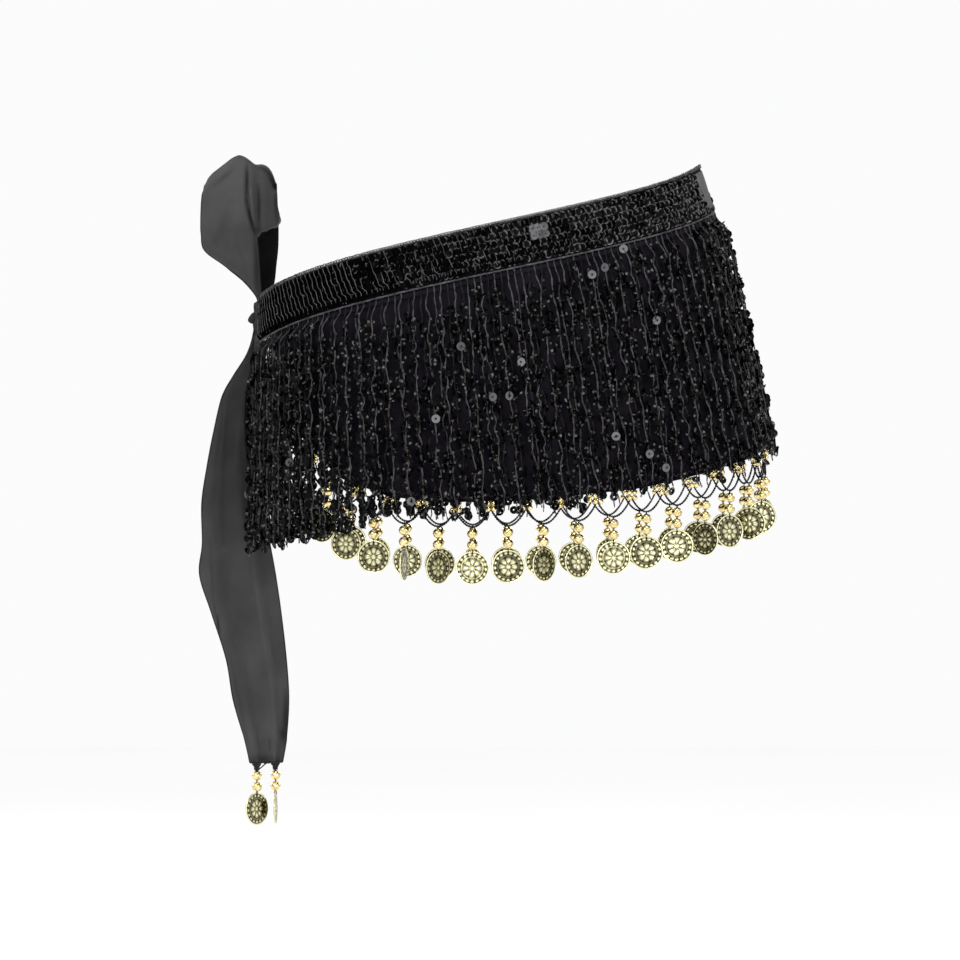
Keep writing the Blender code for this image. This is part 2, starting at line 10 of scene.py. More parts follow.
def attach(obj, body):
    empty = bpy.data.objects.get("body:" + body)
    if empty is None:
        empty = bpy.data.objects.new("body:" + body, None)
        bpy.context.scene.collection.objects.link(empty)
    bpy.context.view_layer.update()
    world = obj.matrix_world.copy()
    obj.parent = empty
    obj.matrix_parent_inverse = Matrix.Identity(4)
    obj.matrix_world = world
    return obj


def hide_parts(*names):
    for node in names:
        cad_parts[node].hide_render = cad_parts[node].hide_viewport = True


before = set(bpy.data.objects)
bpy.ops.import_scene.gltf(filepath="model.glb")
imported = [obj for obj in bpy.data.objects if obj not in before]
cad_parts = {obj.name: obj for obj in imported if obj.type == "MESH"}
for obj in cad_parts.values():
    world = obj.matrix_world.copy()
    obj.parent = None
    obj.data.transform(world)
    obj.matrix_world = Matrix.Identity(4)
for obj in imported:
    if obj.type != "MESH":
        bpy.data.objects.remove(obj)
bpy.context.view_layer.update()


# Camera, floor and lights
# The scarf is seen from straight in front, level with the middle of the fringe, through a long lens.
# A pale floor lies some way under it, and large soft lights stand round it.
PHOTO_PIXELS = 960
METRES_PER_PIXEL = 0.00070
ORIGIN_PIXEL = (480, 232)
CAMERA_DISTANCE = 5.0
SENSOR_WIDTH = 36.0
FLOOR_HEIGHT = -0.62
FLOOR_SIZE = 14.0
BACKGROUND_COLOUR = (0.97, 0.97, 0.972)
FLOOR_COLOUR = (0.97, 0.97, 0.97)
FLOOR_SHADE = (0.96, 0.96, 0.96)


def table(columns, rows):
    """A short table with named columns, as one record for each row."""
    return [dict(zip(columns.split(), row)) for row in rows]


def start_material(name, colour, roughness, metallic=0.0):
    """A material with its uniform values on the shader's own sockets."""
    material = bpy.data.materials.new(name)
    material.use_nodes = True
    shader = material.node_tree.nodes["Principled BSDF"]
    shader.inputs["Base Color"].default_value = (*colour, 1.0)
    shader.inputs["Roughness"].default_value = roughness
    shader.inputs["Metallic"].default_value = metallic
    return material, shader


def add_node(material, kind, values=None, **settings):
    node = material.node_tree.nodes.new(kind)
    for name, value in settings.items():
        setattr(node, name, value)
    for socket, value in (values or {}).items():
        node.inputs[socket].default_value = value
    return node


def join(material, start, end):
    material.node_tree.links.new(start, end)


def colour_between(material, shader, share, low, high, start=0.35, end=0.65):
    """The base colour runs from one colour to another as a texture's value rises."""
    ramp = add_node(material, "ShaderNodeValToRGB")
    ramp.color_ramp.elements[0].position = start
    ramp.color_ramp.elements[0].color = (*low, 1.0)
    ramp.color_ramp.elements[1].position = end
    ramp.color_ramp.elements[1].color = (*high, 1.0)
    join(material, share, ramp.inputs["Fac"])
    join(material, ramp.outputs["Color"], shader.inputs["Base Color"])


def add_bump(material, shader, height, distance, strength=1.0, under=None):
    """Relief from a texture's value, on top of another bump where one is given."""
    bump = add_node(material, "ShaderNodeBump", {"Distance": distance, "Strength": strength})
    join(material, height, bump.inputs["Height"])
    if under:
        join(material, under.outputs["Normal"], bump.inputs["Normal"])
    join(material, bump.outputs["Normal"], shader.inputs["Normal"])
    return bump


def add_noise(material, where, scale, detail=3.0):
    noise = add_node(material, "ShaderNodeTexNoise", {"Scale": scale, "Detail": detail})
    join(material, where.outputs["Object"], noise.inputs["Vector"])
    return noise


def mottled(name, dark, light, roughness, scale, detail=3.0, metallic=0.0):
    """A material whose colour wanders between two shades, with the place that its textures share."""
    material, shader = start_material(name, light, roughness, metallic)
    where = add_node(material, "ShaderNodeTexCoord")
    shades = add_noise(material, where, scale, detail)
    colour_between(material, shader, shades.outputs["Fac"], dark, light)
    return material, shader, where


def built(builder, name):
    """The finished mesh of a builder."""
    mesh = bpy.data.meshes.new(name)
    builder.to_mesh(mesh)
    builder.free()
    return mesh


def link(thing):
    bpy.context.scene.collection.objects.link(thing)
    return thing


frame_height = (ORIGIN_PIXEL[1] - PHOTO_PIXELS / 2) * METRES_PER_PIXEL
lens = bpy.data.cameras.new("camera")
lens.sensor_width = SENSOR_WIDTH
lens.lens = SENSOR_WIDTH * CAMERA_DISTANCE / (PHOTO_PIXELS * METRES_PER_PIXEL)
camera = link(bpy.data.objects.new("camera", lens))
camera.location = ((PHOTO_PIXELS / 2 - ORIGIN_PIXEL[0]) * METRES_PER_PIXEL, -CAMERA_DISTANCE, frame_height)
camera.rotation_euler = (math.pi / 2, 0.0, 0.0)
bpy.context.scene.camera = camera
bpy.context.scene.view_settings.view_transform = "Standard"

floor_builder = bmesh.new()
bmesh.ops.create_grid(floor_builder, x_segments=4, y_segments=4, size=FLOOR_SIZE / 2)
floor = link(bpy.data.objects.new("floor", built(floor_builder, "floor")))
floor.location.z = FLOOR_HEIGHT
floor_paint, _, _ = mottled("pale floor", FLOOR_SHADE, FLOOR_COLOUR, 0.8, 3.0)
floor.data.materials.append(floor_paint)

world = bpy.data.worlds.new("pale room")
bpy.context.scene.world = world
world.use_nodes = True
world.node_tree.nodes["Background"].inputs["Color"].default_value = (*BACKGROUND_COLOUR, 1.0)

STUDIO_LIGHTS = table("name place size power", [
    ("key", (-1.5, -2.6, 1.5), 0.8, 42.0),
    ("fill", (2.2, -2.4, 0.5), 0.9, 26.0),
    ("top", (0.3, -0.8, 2.4), 0.7, 26.0),
    ("low_front", (0.4, -2.8, -0.35), 0.5, 10.0),
    ("back_left", (-2.4, 1.6, 0.8), 0.9, 26.0),
    ("back_right", (1.8, 2.2, 0.9), 0.9, 26.0),
])
for light in STUDIO_LIGHTS:
    lamp_data = bpy.data.lights.new(light["name"], "AREA")
    lamp_data.size = light["size"]
    lamp_data.energy = light["power"]
    lamp = link(bpy.data.objects.new(light["name"], lamp_data))
    lamp.location = light["place"]
    way = Vector((0.0, 0.0, frame_height)) - lamp.location
    lamp.rotation_euler = way.to_track_quat("-Z", "Y").to_euler()


# Chiffon panel
# One piece of black chiffon round the hips. It is cut away towards the knot at both ends, its top edge is
# caught under the sequin band, and its lower and side edges have a narrow rolled hem. Turns are degrees
# round the waist from the knot, and depths are metres below the band's top edge.
WAIST_HALF_WIDTH = 0.152
WAIST_HALF_DEPTH = 0.105
HIP_EXTRA_WIDTH = 0.025
HIP_EXTRA_DEPTH = 0.020
HIP_SHIFT = 0.0217
FLARE_DEPTH = 0.190
FLARE_POWER = 0.85
TILT_RISE = 0.046
TILT_ROUNDING = 0.97
FRONT_TURN = 90
PANEL_TURNS = (15, 345)
PANEL_TOP = 0.0020
PANEL_THICKNESS = 0.0006
PANEL_GRID = (396, 26)
PANEL_WAVES = 16
PANEL_WAVE_HEIGHT = 0.0012
PANEL_FOLDS = (27, 43)
PANEL_FOLD_HEIGHT = 0.0026
PANEL_FREE_FROM = 0.25
PANEL_SETBACK = 0.0002
HEM_RADIUS = 0.0008
HEM_STEPS = 480
HEM_SIDE_STEPS = 30
HEM_SIDE_FROM = 4
PAINTED_FOLD_SHADE = (0.004, 0.004, 0.0042, 1.0)
WEAVE = 0.0007
WEAVE_DEPTH = 0.00012
CRINKLE = 0.0005
WAVE_TEXTURE_STEP = 0.314
EVEN_STEPS = 720
UP = Vector((0.0, 0.0, 1.0))
HEM_ROWS = table("turn depth", [
    (15, 0.038), (22, 0.066), (30, 0.095), (37, 0.118), (49, 0.148),
    (62, 0.168), (76, 0.180), (97, 0.190), (120, 0.196), (180, 0.197),
])


def within(span, share):
    """The value at a share of the way along a span."""
    return span[0] + share * (span[1] - span[0])


def between(rows, key, at, by="turn"):
    """The value of one column of a table at a place between its rows."""
    if at <= rows[0][by]:
        return rows[0][key]
    for low, high in zip(rows, rows[1:]):
        if at <= high[by]:
            share = (at - low[by]) / (high[by] - low[by])
            return low[key] + share * (high[key] - low[key])
    return rows[-1][key]


def from_knot(turn):
    """Degrees from the knot the shorter way round."""
    return min(turn % 360, 360 - turn % 360)


def hem_depth(turn):
    return between(HEM_ROWS, "depth", from_knot(turn))


def band_height(turn):
    """Height of the band's top edge: lowest at the knot, highest at the far hip."""
    angle = math.radians(turn - FRONT_TURN)
    return TILT_RISE * math.asin(TILT_ROUNDING * math.sin(angle)) / math.asin(TILT_ROUNDING)


def ring_sizes(depth):
    """Centre offset, half width and half depth of the ring at a depth below the band's top edge."""
    flare = (max(depth, 0.0) / FLARE_DEPTH) ** FLARE_POWER
    width = WAIST_HALF_WIDTH + HIP_EXTRA_WIDTH * flare
    return HIP_SHIFT * flare, width, WAIST_HALF_DEPTH + HIP_EXTRA_DEPTH * flare


def ring_normal(turn, depth):
    _, width, length = ring_sizes(depth)
    angle = math.radians(turn - FRONT_TURN)
    return Vector((length * math.sin(angle), -width * math.cos(angle), 0.0)).normalized()


def ring_tangent(turn, depth):
    return UP.cross(ring_normal(turn, depth))


def ring_point(turn, depth, out=0.0):
    """A point on the panel's outer face, moved out from it by a given distance."""
    centre, width, length = ring_sizes(depth)
    angle = math.radians(turn - FRONT_TURN)
    point = Vector((centre + width * math.sin(angle), -length * math.cos(angle), band_height(turn) - depth))
    return point + out * ring_normal(turn, depth)


def even_turns(start, end, count, depth_at):
    """Turns that divide a line round the ring into equal lengths, both ends included."""
    steps = [start + (end - start) * i / EVEN_STEPS for i in range(EVEN_STEPS + 1)]
    points = [ring_point(turn, depth_at(turn)) for turn in steps]
    lengths = [0.0]
    for one, two in zip(points, points[1:]):
        lengths.append(lengths[-1] + (two - one).length)
    turns = []
    index = 0
    for i in range(count + 1):
        wanted = lengths[-1] * i / count
        while index < EVEN_STEPS - 1 and lengths[index + 1] < wanted:
            index += 1
        share = (wanted - lengths[index]) / (lengths[index + 1] - lengths[index])
        turns.append(steps[index] + share * (steps[index + 1] - steps[index]))
    return turns


def chiffon_material(name, dark, light, cover, shine=0.02):
    """Thin matt cloth with crossed threads and a soft crinkle, and painted shade where marked by fold_shade.
    """
    material, shader, where = mottled(name, dark, light, 0.72, 34.0, 4.0)
    shader.inputs["Alpha"].default_value = cover
    shader.inputs["Sheen Weight"].default_value = shine
    shader.inputs["Sheen Roughness"].default_value = 0.5
    shader.inputs["Specular IOR Level"].default_value = 2 * shine
    # Painted shade: the fold_shade mark mixes the colour towards near-black.
    shade = add_node(material, "ShaderNodeVertexColor", layer_name="fold_shade")
    shaded = add_node(material, "ShaderNodeMixRGB", {"Color2": PAINTED_FOLD_SHADE})
    join(material, shade.outputs["Color"], shaded.inputs["Fac"])
    join(material, shader.inputs["Base Color"].links[0].from_socket, shaded.inputs["Color1"])
    join(material, shaded.outputs["Color"], shader.inputs["Base Color"])
    bends = add_noise(material, where, 260.0, 3.0)
    under = add_bump(material, shader, bends.outputs["Fac"], CRINKLE, 0.5)
    weave = {"Scale": WAVE_TEXTURE_STEP / WEAVE, "Distortion": 0.4}
    for direction in ("X", "Y"):
        threads = add_node(material, "ShaderNodeTexWave", weave, wave_type="BANDS", bands_direction=direction)
        join(material, where.outputs["UV"], threads.inputs["Vector"])
        under = add_bump(material, shader, threads.outputs["Fac"], WEAVE_DEPTH, 0.6, under)
    return material


def add_piece(name, mesh, material, body="scarf", stands_for=(), smooth=True):
    """A finished piece: its mesh and material, the body it rides on and the solids it stands for."""
    mesh.name = name
    if material:
        mesh.materials.append(material)
    if smooth:
        mesh.shade_smooth()
    piece = link(bpy.data.objects.new(name, mesh))
    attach(piece, body)
    if stands_for:
        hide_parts(*stands_for)
    return piece


def cloth_mesh(columns, rows, place, flat):
    """A grid of cloth placed by its shares across and down, with the flat cut in metres as its UV map."""
    builder = bmesh.new()
    bmesh.ops.create_grid(builder, x_segments=columns, y_segments=rows, size=0.5)
    shares = {vert: (vert.co.x + 0.5, 0.5 - vert.co.y) for vert in builder.verts}
    cut = builder.loops.layers.uv.new("flat_cut")
    for face in builder.faces:
        for corner in face.loops:
            across, down = shares[corner.vert]
            corner[cut].uv = (across * flat[0], down * flat[1])
    for vert, share in shares.items():
        vert.co = place(*share)
    return built(builder, "cloth")


def thicken(piece, thickness, offset):
    """Cloth thickness: -1 grows it inwards, 1 outwards and 0 both ways."""
    wall = piece.modifiers.new("thickness", "SOLIDIFY")
    wall.thickness = thickness
    wall.offset = offset
    wall.use_even_offset = False


def tube_mesh(paths, radius, sides=5):
    """Round threads or cords, one along each list of points, closed at both ends."""
    verts = []
    faces = []
    for path in paths:
        side = None
        first = len(verts)
        for i, point in enumerate(path):
            ahead = (path[min(i + 1, len(path) - 1)] - path[max(i - 1, 0)]).normalized()
            if side is None:
                side = ahead.orthogonal()
            side = (side - side.dot(ahead) * ahead).normalized()
            other = ahead.cross(side)
            for corner in range(sides):
                angle = 2 * math.pi * corner / sides
                verts.append(point + radius * (math.cos(angle) * side + math.sin(angle) * other))
        for i in range(len(path) - 1):
            low = first + i * sides
            for corner in range(sides):
                after = (corner + 1) % sides
                faces.append((low + corner, low + after, low + sides + after, low + sides + corner))
        last = first + (len(path) - 1) * sides
        faces.append(tuple(first + corner for corner in reversed(range(sides))))
        faces.append(tuple(last + corner for corner in range(sides)))
    mesh = bpy.data.meshes.new("tube")
    mesh.from_pydata(verts, [], faces)
    return mesh


def panel_place(across, down):
    """The panel's own folds hang from the band and deepen towards the hem. They only go inwards."""
    turn = within(PANEL_TURNS, across)
    free = max(0.0, down - PANEL_FREE_FROM)
    wave = 0.5 - 0.5 * math.cos(math.radians(turn) * PANEL_WAVES)
    wide = math.sin(math.radians(turn * PANEL_FOLDS[0] + 40))
    narrow = math.sin(math.radians(turn * PANEL_FOLDS[1]))
    fold = 0.5 + 0.3 * wide + 0.2 * narrow
    inwards = free * (PANEL_WAVE_HEIGHT * wave + PANEL_FOLD_HEIGHT * fold)
    return ring_point(turn, within((PANEL_TOP, hem_depth(turn)), down), -PANEL_SETBACK - inwards)


black_chiffon = chiffon_material("black chiffon", (0.0045, 0.0036, 0.0058), (0.0095, 0.0078, 0.0115), 0.99,
                                 shine=0.006)
panel = add_piece("panel_cloth", cloth_mesh(*PANEL_GRID, panel_place, (0.88, 0.195)),
                  black_chiffon, stands_for=("chiffon_panel",))
thicken(panel, PANEL_THICKNESS, -1)
side_rows = range(HEM_SIDE_FROM, HEM_SIDE_STEPS)
hem_path = [panel_place(0.0, row / HEM_SIDE_STEPS) for row in side_rows]
hem_path += [panel_place(column / HEM_STEPS, 1.0) for column in range(HEM_STEPS + 1)]
hem_path += [panel_place(1.0, row / HEM_SIDE_STEPS) for row in reversed(side_rows)]
panel_hem = add_piece("panel_hem", tube_mesh([hem_path], HEM_RADIUS), black_chiffon)


# Sequin band
# A tape round the waist, covered with rows of small black cup sequins. Every column of sequins overlaps the
# next one like tiles and is sewn down in a rib across the band, whose grey thread is a painted highlight on
# the column's edge. Towards the far hip the ribs break up into a speckle of tipped sequins with more painted
# glints, a few sequins in front lie flat with a painted grey reflection, and at the hip some worn grey tape
# is bare.
GAP = 0.0003
BAND_TURNS = (5, 355)
BAND_TOP = 0.0018
BAND_BOTTOM = 0.0304
BAND_THICKNESS = 0.0010
BAND_GRID = (280, 6)
SEQUIN_RADIUS = 0.0030
SEQUIN_CUP = 0.0007
BAND_COLUMN_PITCH = 0.0040
BAND_SEQUIN_ROWS = 6
BAND_SEQUIN_OUT = 0.0024
BAND_SEQUIN_LEAN = 34
BAND_END_TURNS = 0.8
BAND_CUP_SIDES = 10
RIB_RADIUS = 0.00032
RIB_ZIGZAG = 0.0003
RIB_STEPS = (-0.0022, 0.0004)
RIB_OUT = 0.0014
RIB_ASIDE = 0.0012
RIB_LEAN = 0.0034
BROKEN_SHARE = 0.9
SPECKLE_TURNS = (54, 86)
SPECKLE_TIP = (8, 22)
BARE_TURNS = (163, 184)
BARE_EDGE = (-1.0, 1.5)
BARE_DEPTHS = (0.0030, 0.0285)
BARE_OUT = 0.0001
BARE_THICKNESS = 0.0004
BARE_GRID = (30, 12)
SHINY_TURNS = (102, 107)
SHINY_OUT = 0.0008
SHINY_TIP = 8
TAPE_TOP = 0.0002
BAND_LIT_FACETS = (1.3, 5.2)
BAND_SEED = 5
THREAD_PLY = 0.0009
STITCH_COUNT = 420
STITCH_RADIUS = 0.00022
STITCH_DEPTHS = (0.0010, 0.0036)
STITCH_OUT = 0.0002


def join_circles(builder, circles):
    """Faces from each circle of corners to the next one. The first may be a single middle corner."""
    for inner, outer in zip(circles, circles[1:]):
        for corner in range(len(outer)):
            after = (corner + 1) % len(outer)
            face = [inner[0], outer[corner], outer[after]]
            if len(inner) > 1:
                face = [inner[corner], outer[corner], outer[after], inner[after]]
            builder.faces.new(face)


def cup_sequin(sides, rings):
    """A small round cup with a hole in its middle."""
    builder = bmesh.new()
    circles = []
    for share in rings:
        radius = share * SEQUIN_RADIUS
        height = -SEQUIN_CUP * (1.0 - share ** 2)
        angles = [2 * math.pi * corner / sides for corner in range(sides)]
        circles.append([builder.verts.new((radius * math.cos(angle), radius * math.sin(angle), height))
                        for angle in angles])
    join_circles(builder, circles)
    return built(builder, "cup_sequin")


def scatter(shape, places):
    """One mesh with a copy of a small shape at every place."""
    base = numpy.array([vert.co for vert in shape.vertices])
    sides = [tuple(face.vertices) for face in shape.polygons]
    points = []
    faces = []
    for count, place in enumerate(places):
        turned = numpy.array(place)
        points.append(base @ turned[:3, :3].T + turned[:3, 3])
        faces.extend([[i + count * len(base) for i in side] for side in sides])
    mesh = bpy.data.meshes.new("scatter")
    mesh.from_pydata(numpy.concatenate(points), [], faces)
    return mesh


def paint_glints(mesh, copies, sides, lit, draw):
    """Painted glints: pale colour on the rim corners that catch the light, so many of them on an average
    sequin.
    """
    shades = numpy.zeros((len(mesh.vertices), 4))
    shades[:, 3] = 1.0
    each = len(mesh.vertices) // copies
    for copy in range(copies):
        for corner in draw.sample(range(sides), int(lit + draw.random())):
            shades[(copy + 1) * each - sides + corner, :3] = draw.uniform(0.3, 1.0)
    mesh.color_attributes.new("sparkle", "FLOAT_COLOR", "POINT").data.foreach_set("color", shades.ravel())
    return mesh


def facing_place(point, normal):
    """A place whose own Z axis is the given direction."""
    return Matrix.Translation(point) @ normal.to_track_quat("Z", "Y").to_matrix().to_4x4()


def tilted(normal, axis, degrees):
    return Matrix.Rotation(math.radians(degrees), 3, axis) @ normal


def add_dents(material, shader, where, scale, depth, strength):
    dents = add_noise(material, where, scale, 2.0)
    add_bump(material, shader, dents.outputs["Fac"], depth, strength)


def sequin_material(name, dark, light, roughness, sparkles=False):
    """Glossy plastic with fine dents. Either a few rim corners are painted pale as glints, or each sequin has
    its own tone.
    """
    material, shader = start_material(name, dark, roughness)
    shader.inputs["Specular IOR Level"].default_value = 0.05
    if sparkles:
        lit = add_node(material, "ShaderNodeVertexColor", layer_name="sparkle")
        colour_between(material, shader, lit.outputs["Color"], dark, light, 0.05, 1.0)
    else:
        islands = add_node(material, "ShaderNodeNewGeometry")
        colour_between(material, shader, islands.outputs["Random Per Island"], dark, light, 0.2, 0.8)
    where = add_node(material, "ShaderNodeTexCoord")
    add_dents(material, shader, where, 700.0, 0.0002, 0.3)
    return material


def thread_material(name, dark, light):
    """Spun thread: short slanting plies, and a shade that wanders along it."""
    material, shader, where = mottled(name, dark, light, 0.6, 180.0, 2.0)
    shader.inputs["Specular IOR Level"].default_value = 0.06
    spin = {"Scale": WAVE_TEXTURE_STEP / THREAD_PLY, "Distortion": 1.5}
    plies = add_node(material, "ShaderNodeTexWave", spin, wave_type="BANDS", bands_direction="DIAGONAL")
    join(material, where.outputs["Object"], plies.inputs["Vector"])
    add_bump(material, shader, plies.outputs["Fac"], 0.0002, 0.7)
    return material


def ring_strip(turns, depths, out):
    """A strip round the ring: its place function, from the shares across and down."""
    return lambda across, down: ring_point(within(turns, across), within(depths, down), out)


def band_slope(turn):
    """Rise of the band for each metre along it."""
    run = (ring_point(turn + 1, 0.0) - ring_point(turn - 1, 0.0)).xy.length
    return (band_height(turn + 1) - band_height(turn - 1)) / run


def across_band(turn, depth, out, aside=0.0):
    """A point on a line that crosses the band square to its edges."""
    middle = (BAND_TOP + BAND_BOTTOM) / 2
    shift = (depth - middle) * band_slope(turn) + aside
    return ring_point(turn, depth - shift * band_slope(turn), out) + shift * ring_tangent(turn, depth)


band_place = ring_strip(BAND_TURNS, (TAPE_TOP, BAND_BOTTOM), GAP)
tape_cloth = chiffon_material("black tape", (0.001, 0.001, 0.001), (0.003, 0.003, 0.003), 1.0, shine=0.004)
band_tape = add_piece("band_tape", cloth_mesh(*BAND_GRID, band_place, (0.81, 0.0302)), tape_cloth,
                      stands_for=("sequin_band",))
thicken(band_tape, BAND_THICKNESS, 1)

black_sequins = sequin_material("black sequins", (0.0008, 0.0008, 0.0009), (0.18, 0.18, 0.185), 0.40, True)
# A grey copy of the sequins for the ones that face the front: painted reflection
painted_reflection_sequins = sequin_material("sequins with painted reflection", (0.065, 0.065, 0.068), (0.12, 0.12, 0.124), 0.40)
grey_thread = thread_material("grey thread", (0.030, 0.030, 0.032), (0.082, 0.081, 0.085))
# A darker copy of the thread, for painted shade on fringe strands
painted_shade_thread = thread_material("thread in painted shade", (0.004, 0.004, 0.0045), (0.020, 0.020, 0.021))

band_draw = random.Random(BAND_SEED)
band_length = sum((band_place(i / 200, 0.5) - band_place((i + 1) / 200, 0.5)).length for i in range(200))
band_columns = round(band_length / BAND_COLUMN_PITCH)
band_sequins = {"ribbed": [], "speckled": []}
shiny_sequins = []
ribs = []
rib_turns = even_turns(BAND_TURNS[0] + BAND_END_TURNS, BAND_TURNS[1] - BAND_END_TURNS, band_columns,
                       lambda turn: BAND_BOTTOM / 2)
for turn in rib_turns:
    speckled = min(max((turn - SPECKLE_TURNS[0]) / (SPECKLE_TURNS[1] - SPECKLE_TURNS[0]), 0.0), 1.0)
    rough = within(SPECKLE_TIP, speckled)
    rib = []
    for row in range(BAND_SEQUIN_ROWS):
        if BARE_TURNS[0] + band_draw.uniform(*BARE_EDGE) < turn < BARE_TURNS[1]:
            continue
        depth = BAND_TOP + (BAND_BOTTOM - BAND_TOP) * (row + 0.5) / BAND_SEQUIN_ROWS
        zigzag = RIB_ZIGZAG * (1 if row % 2 else -1) + band_draw.uniform(-RIB_ZIGZAG, RIB_ZIGZAG)
        tangent = ring_tangent(turn, depth)
        normal = tilted(ring_normal(turn, depth), UP, -BAND_SEQUIN_LEAN + band_draw.gauss(0, rough))
        normal = tilted(normal, tangent, band_draw.gauss(0, rough))
        # These few lie flat facing the front; their grey is a painted reflection.
        shiny = SHINY_TURNS[0] < turn < SHINY_TURNS[1] and 1 <= row <= 2
        if shiny:
            normal = tilted(ring_normal(turn, depth), tangent, band_draw.gauss(0, SHINY_TIP))
        place = facing_place(across_band(turn, depth, BAND_SEQUIN_OUT + SHINY_OUT * shiny, zigzag), normal)
        kind = "speckled" if band_draw.random() < speckled else "ribbed"
        (shiny_sequins if shiny else band_sequins[kind]).append(place)
        lean = RIB_LEAN * (row / (BAND_SEQUIN_ROWS - 1)) ** 2
        for step in RIB_STEPS:
            rib.append(across_band(turn, depth + step, BAND_SEQUIN_OUT + RIB_OUT, zigzag + RIB_ASIDE + lean))
        if band_draw.random() < BROKEN_SHARE * speckled:
            if band_draw.random() < 0.5:
                ribs.append(rib)
            rib = []
    if len(rib) > 1:
        ribs.append(rib)
band_cup = cup_sequin(BAND_CUP_SIDES, (0.18, 0.6, 1.0))
on_band = []
# Painted glints on the band's black sequins, more of them on the speckled ones
for (kind, places), lit in zip(band_sequins.items(), BAND_LIT_FACETS):
    cups = paint_glints(scatter(band_cup, places), len(places), BAND_CUP_SIDES, lit, band_draw)
    on_band.append(add_piece(kind + "_band_sequins", cups, black_sequins))
# The grey ribs are a painted highlight along each column's edge.
on_band += [
    add_piece("shiny_band_sequins", scatter(band_cup, shiny_sequins), painted_reflection_sequins),
    add_piece("band_ribs", tube_mesh(ribs, RIB_RADIUS, 4), grey_thread),
]

# The running zig-zag stitch that holds the panel's rolled hem, in the same grey thread
stitches = []
for count in range(STITCH_COUNT):
    across = max(count + band_draw.uniform(-0.2, 0.2), 0.0) / STITCH_COUNT
    turn = within(PANEL_TURNS, across)
    above = STITCH_DEPTHS[count % 2] + band_draw.uniform(0.0, 0.0006)
    depth = hem_depth(turn)
    stitches.append(panel_place(across, 1 - above / depth) + STITCH_OUT * ring_normal(turn, depth))
add_piece("hem_stitches", tube_mesh([stitches], STITCH_RADIUS, 4), grey_thread)

bare_place = ring_strip(BARE_TURNS, BARE_DEPTHS, GAP + BAND_THICKNESS + BARE_OUT)
bare_tape = chiffon_material("worn grey tape", (0.060, 0.060, 0.061), (0.130, 0.130, 0.132), 1.0, shine=0.01)
bare = add_piece("bare_tape", cloth_mesh(*BARE_GRID, bare_place, (0.039, 0.0255)), bare_tape)
thicken(bare, BARE_THICKNESS, 1)


# Braided edges
# Three cords plaited together, sewn along the top and along the bottom of the sequins.
LOWER_BRAID_DEPTH = 0.0322
BRAID_RADIUS = 0.0014
BRAID_LENGTH = 0.0068
BRAID_POINTS = 9
BRAID_BUMP = 0.00022
BRAID_CORDS = 3
# Each braid's name and depth, the share of its full width that it is pulled to, and its cords' radius
BRAIDS = (
    ("upper_braid", 0.0, 1.0, 0.00038),
    ("lower_braid", LOWER_BRAID_DEPTH, 0.28, 0.00034),
)


def plait(turns, place):
    """Paths of cords plaited along a line: each swings from side to side and crosses over the others."""
    paths = []
    for cord in range(BRAID_CORDS):
        path = []
        for i, turn in enumerate(turns):
            phase = 2 * math.pi * (i / BRAID_POINTS + cord / BRAID_CORDS)
            path.append(place(turn, math.sin(phase), math.sin(2 * phase)))
        paths.append(path)
    return paths


braid_count = round(band_length / BRAID_LENGTH * BRAID_POINTS)
for name, depth, pulled, cord in BRAIDS:
    spread = pulled * (BRAID_RADIUS - cord)
    turns = even_turns(*BAND_TURNS, braid_count, lambda turn: depth)
    paths = plait(turns, lambda turn, sideways, over: ring_point(
        turn, depth + spread * sideways + band_draw.uniform(-BRAID_BUMP, BRAID_BUMP),
        GAP + BRAID_RADIUS + 0.6 * spread * over + band_draw.uniform(-BRAID_BUMP, BRAID_BUMP)))
    add_piece(name + "_cords", tube_mesh(paths, cord, 5), grey_thread, stands_for=(name,))


# Fringe
# Doubled black threads hang in two layers from a narrow woven header under the band, longer and closer
# near the knot. Small cup sequins are strung on them loosely, so they gather in clumps, tip every way and
# leave bare thread between. A few face the front, grey with a painted reflection, and most inner strands
# take a darker copy of the thread: painted shade.
STRIP_TURNS = (5, 350)
STRIP_TOP = 0.0342
STRIP_BOTTOM = 0.0372
STRIP_THICKNESS = 0.0012
STRIP_GRID = (280, 3)
FRINGE_ROOTS = 90
FRINGE_SEED = 7
THREAD_SEED = 21
DENSE_BELOW_TURN = 42
END_STRAND_TURNS = (1.0, 2.5, 4.0)
LIGHT_INNER_EVERY = 3
FACING_SHARE = 0.62
BARE_TOP = (0.006, 0.028)
SIDE_BARE_TOP = (0.003, 0.008)
SIDE_TURN = 150
BARE_END = (0.0005, 0.004)
LIT_FACETS = 1.2
TIPPED_SHARE = 0.15
STRAND_SWAY = 0.0016
LENGTH_SPREAD = 0.005
STRAND_SHOULDER = 0.010
END_ABOVE_DROPS = 0.004
LONG_STRANDS_BELOW_TURN = 60
APEX_BELOW_HEM = 0.0062
SCALLOP_SAG = 0.0118
STRAND_STEP = 0.0030
THREAD_RADIUS = 0.00028
THREAD_TWIST = 0.00036
THREAD_TWIST_LENGTH = 0.015
STRAND_SEWN = 0.0012
STRAND_RISE = 0.0015
STRAND_LEAN = 0.0011
STRAND_BENDS = 3
ANY_PHASE = (0, 6.3)
BEND_LENGTHS = (0.010, 0.045)
BEND_SIZES = (0.0002, 0.0008)
STRAND_TREMBLE = 0.00022
STRAND_RIPPLE = 0.0003
SLIP_ASIDE = 0.0016
COVERING_TIPS = (12, 12)
COVERING_OUT = 0.0004
FACING_TIPS = (26, 30)
FACING_IN = 0.0010
EDGE_TIP = 25
TIPPED_TIPS = (40, 40)
CLUMP_LENGTHS = (0.020, 0.045)
CROWDED_STEPS = (0.0015, 0.0032)
SPARSE_STEPS = (0.0045, 0.0120)
CUP_SIDES = 10
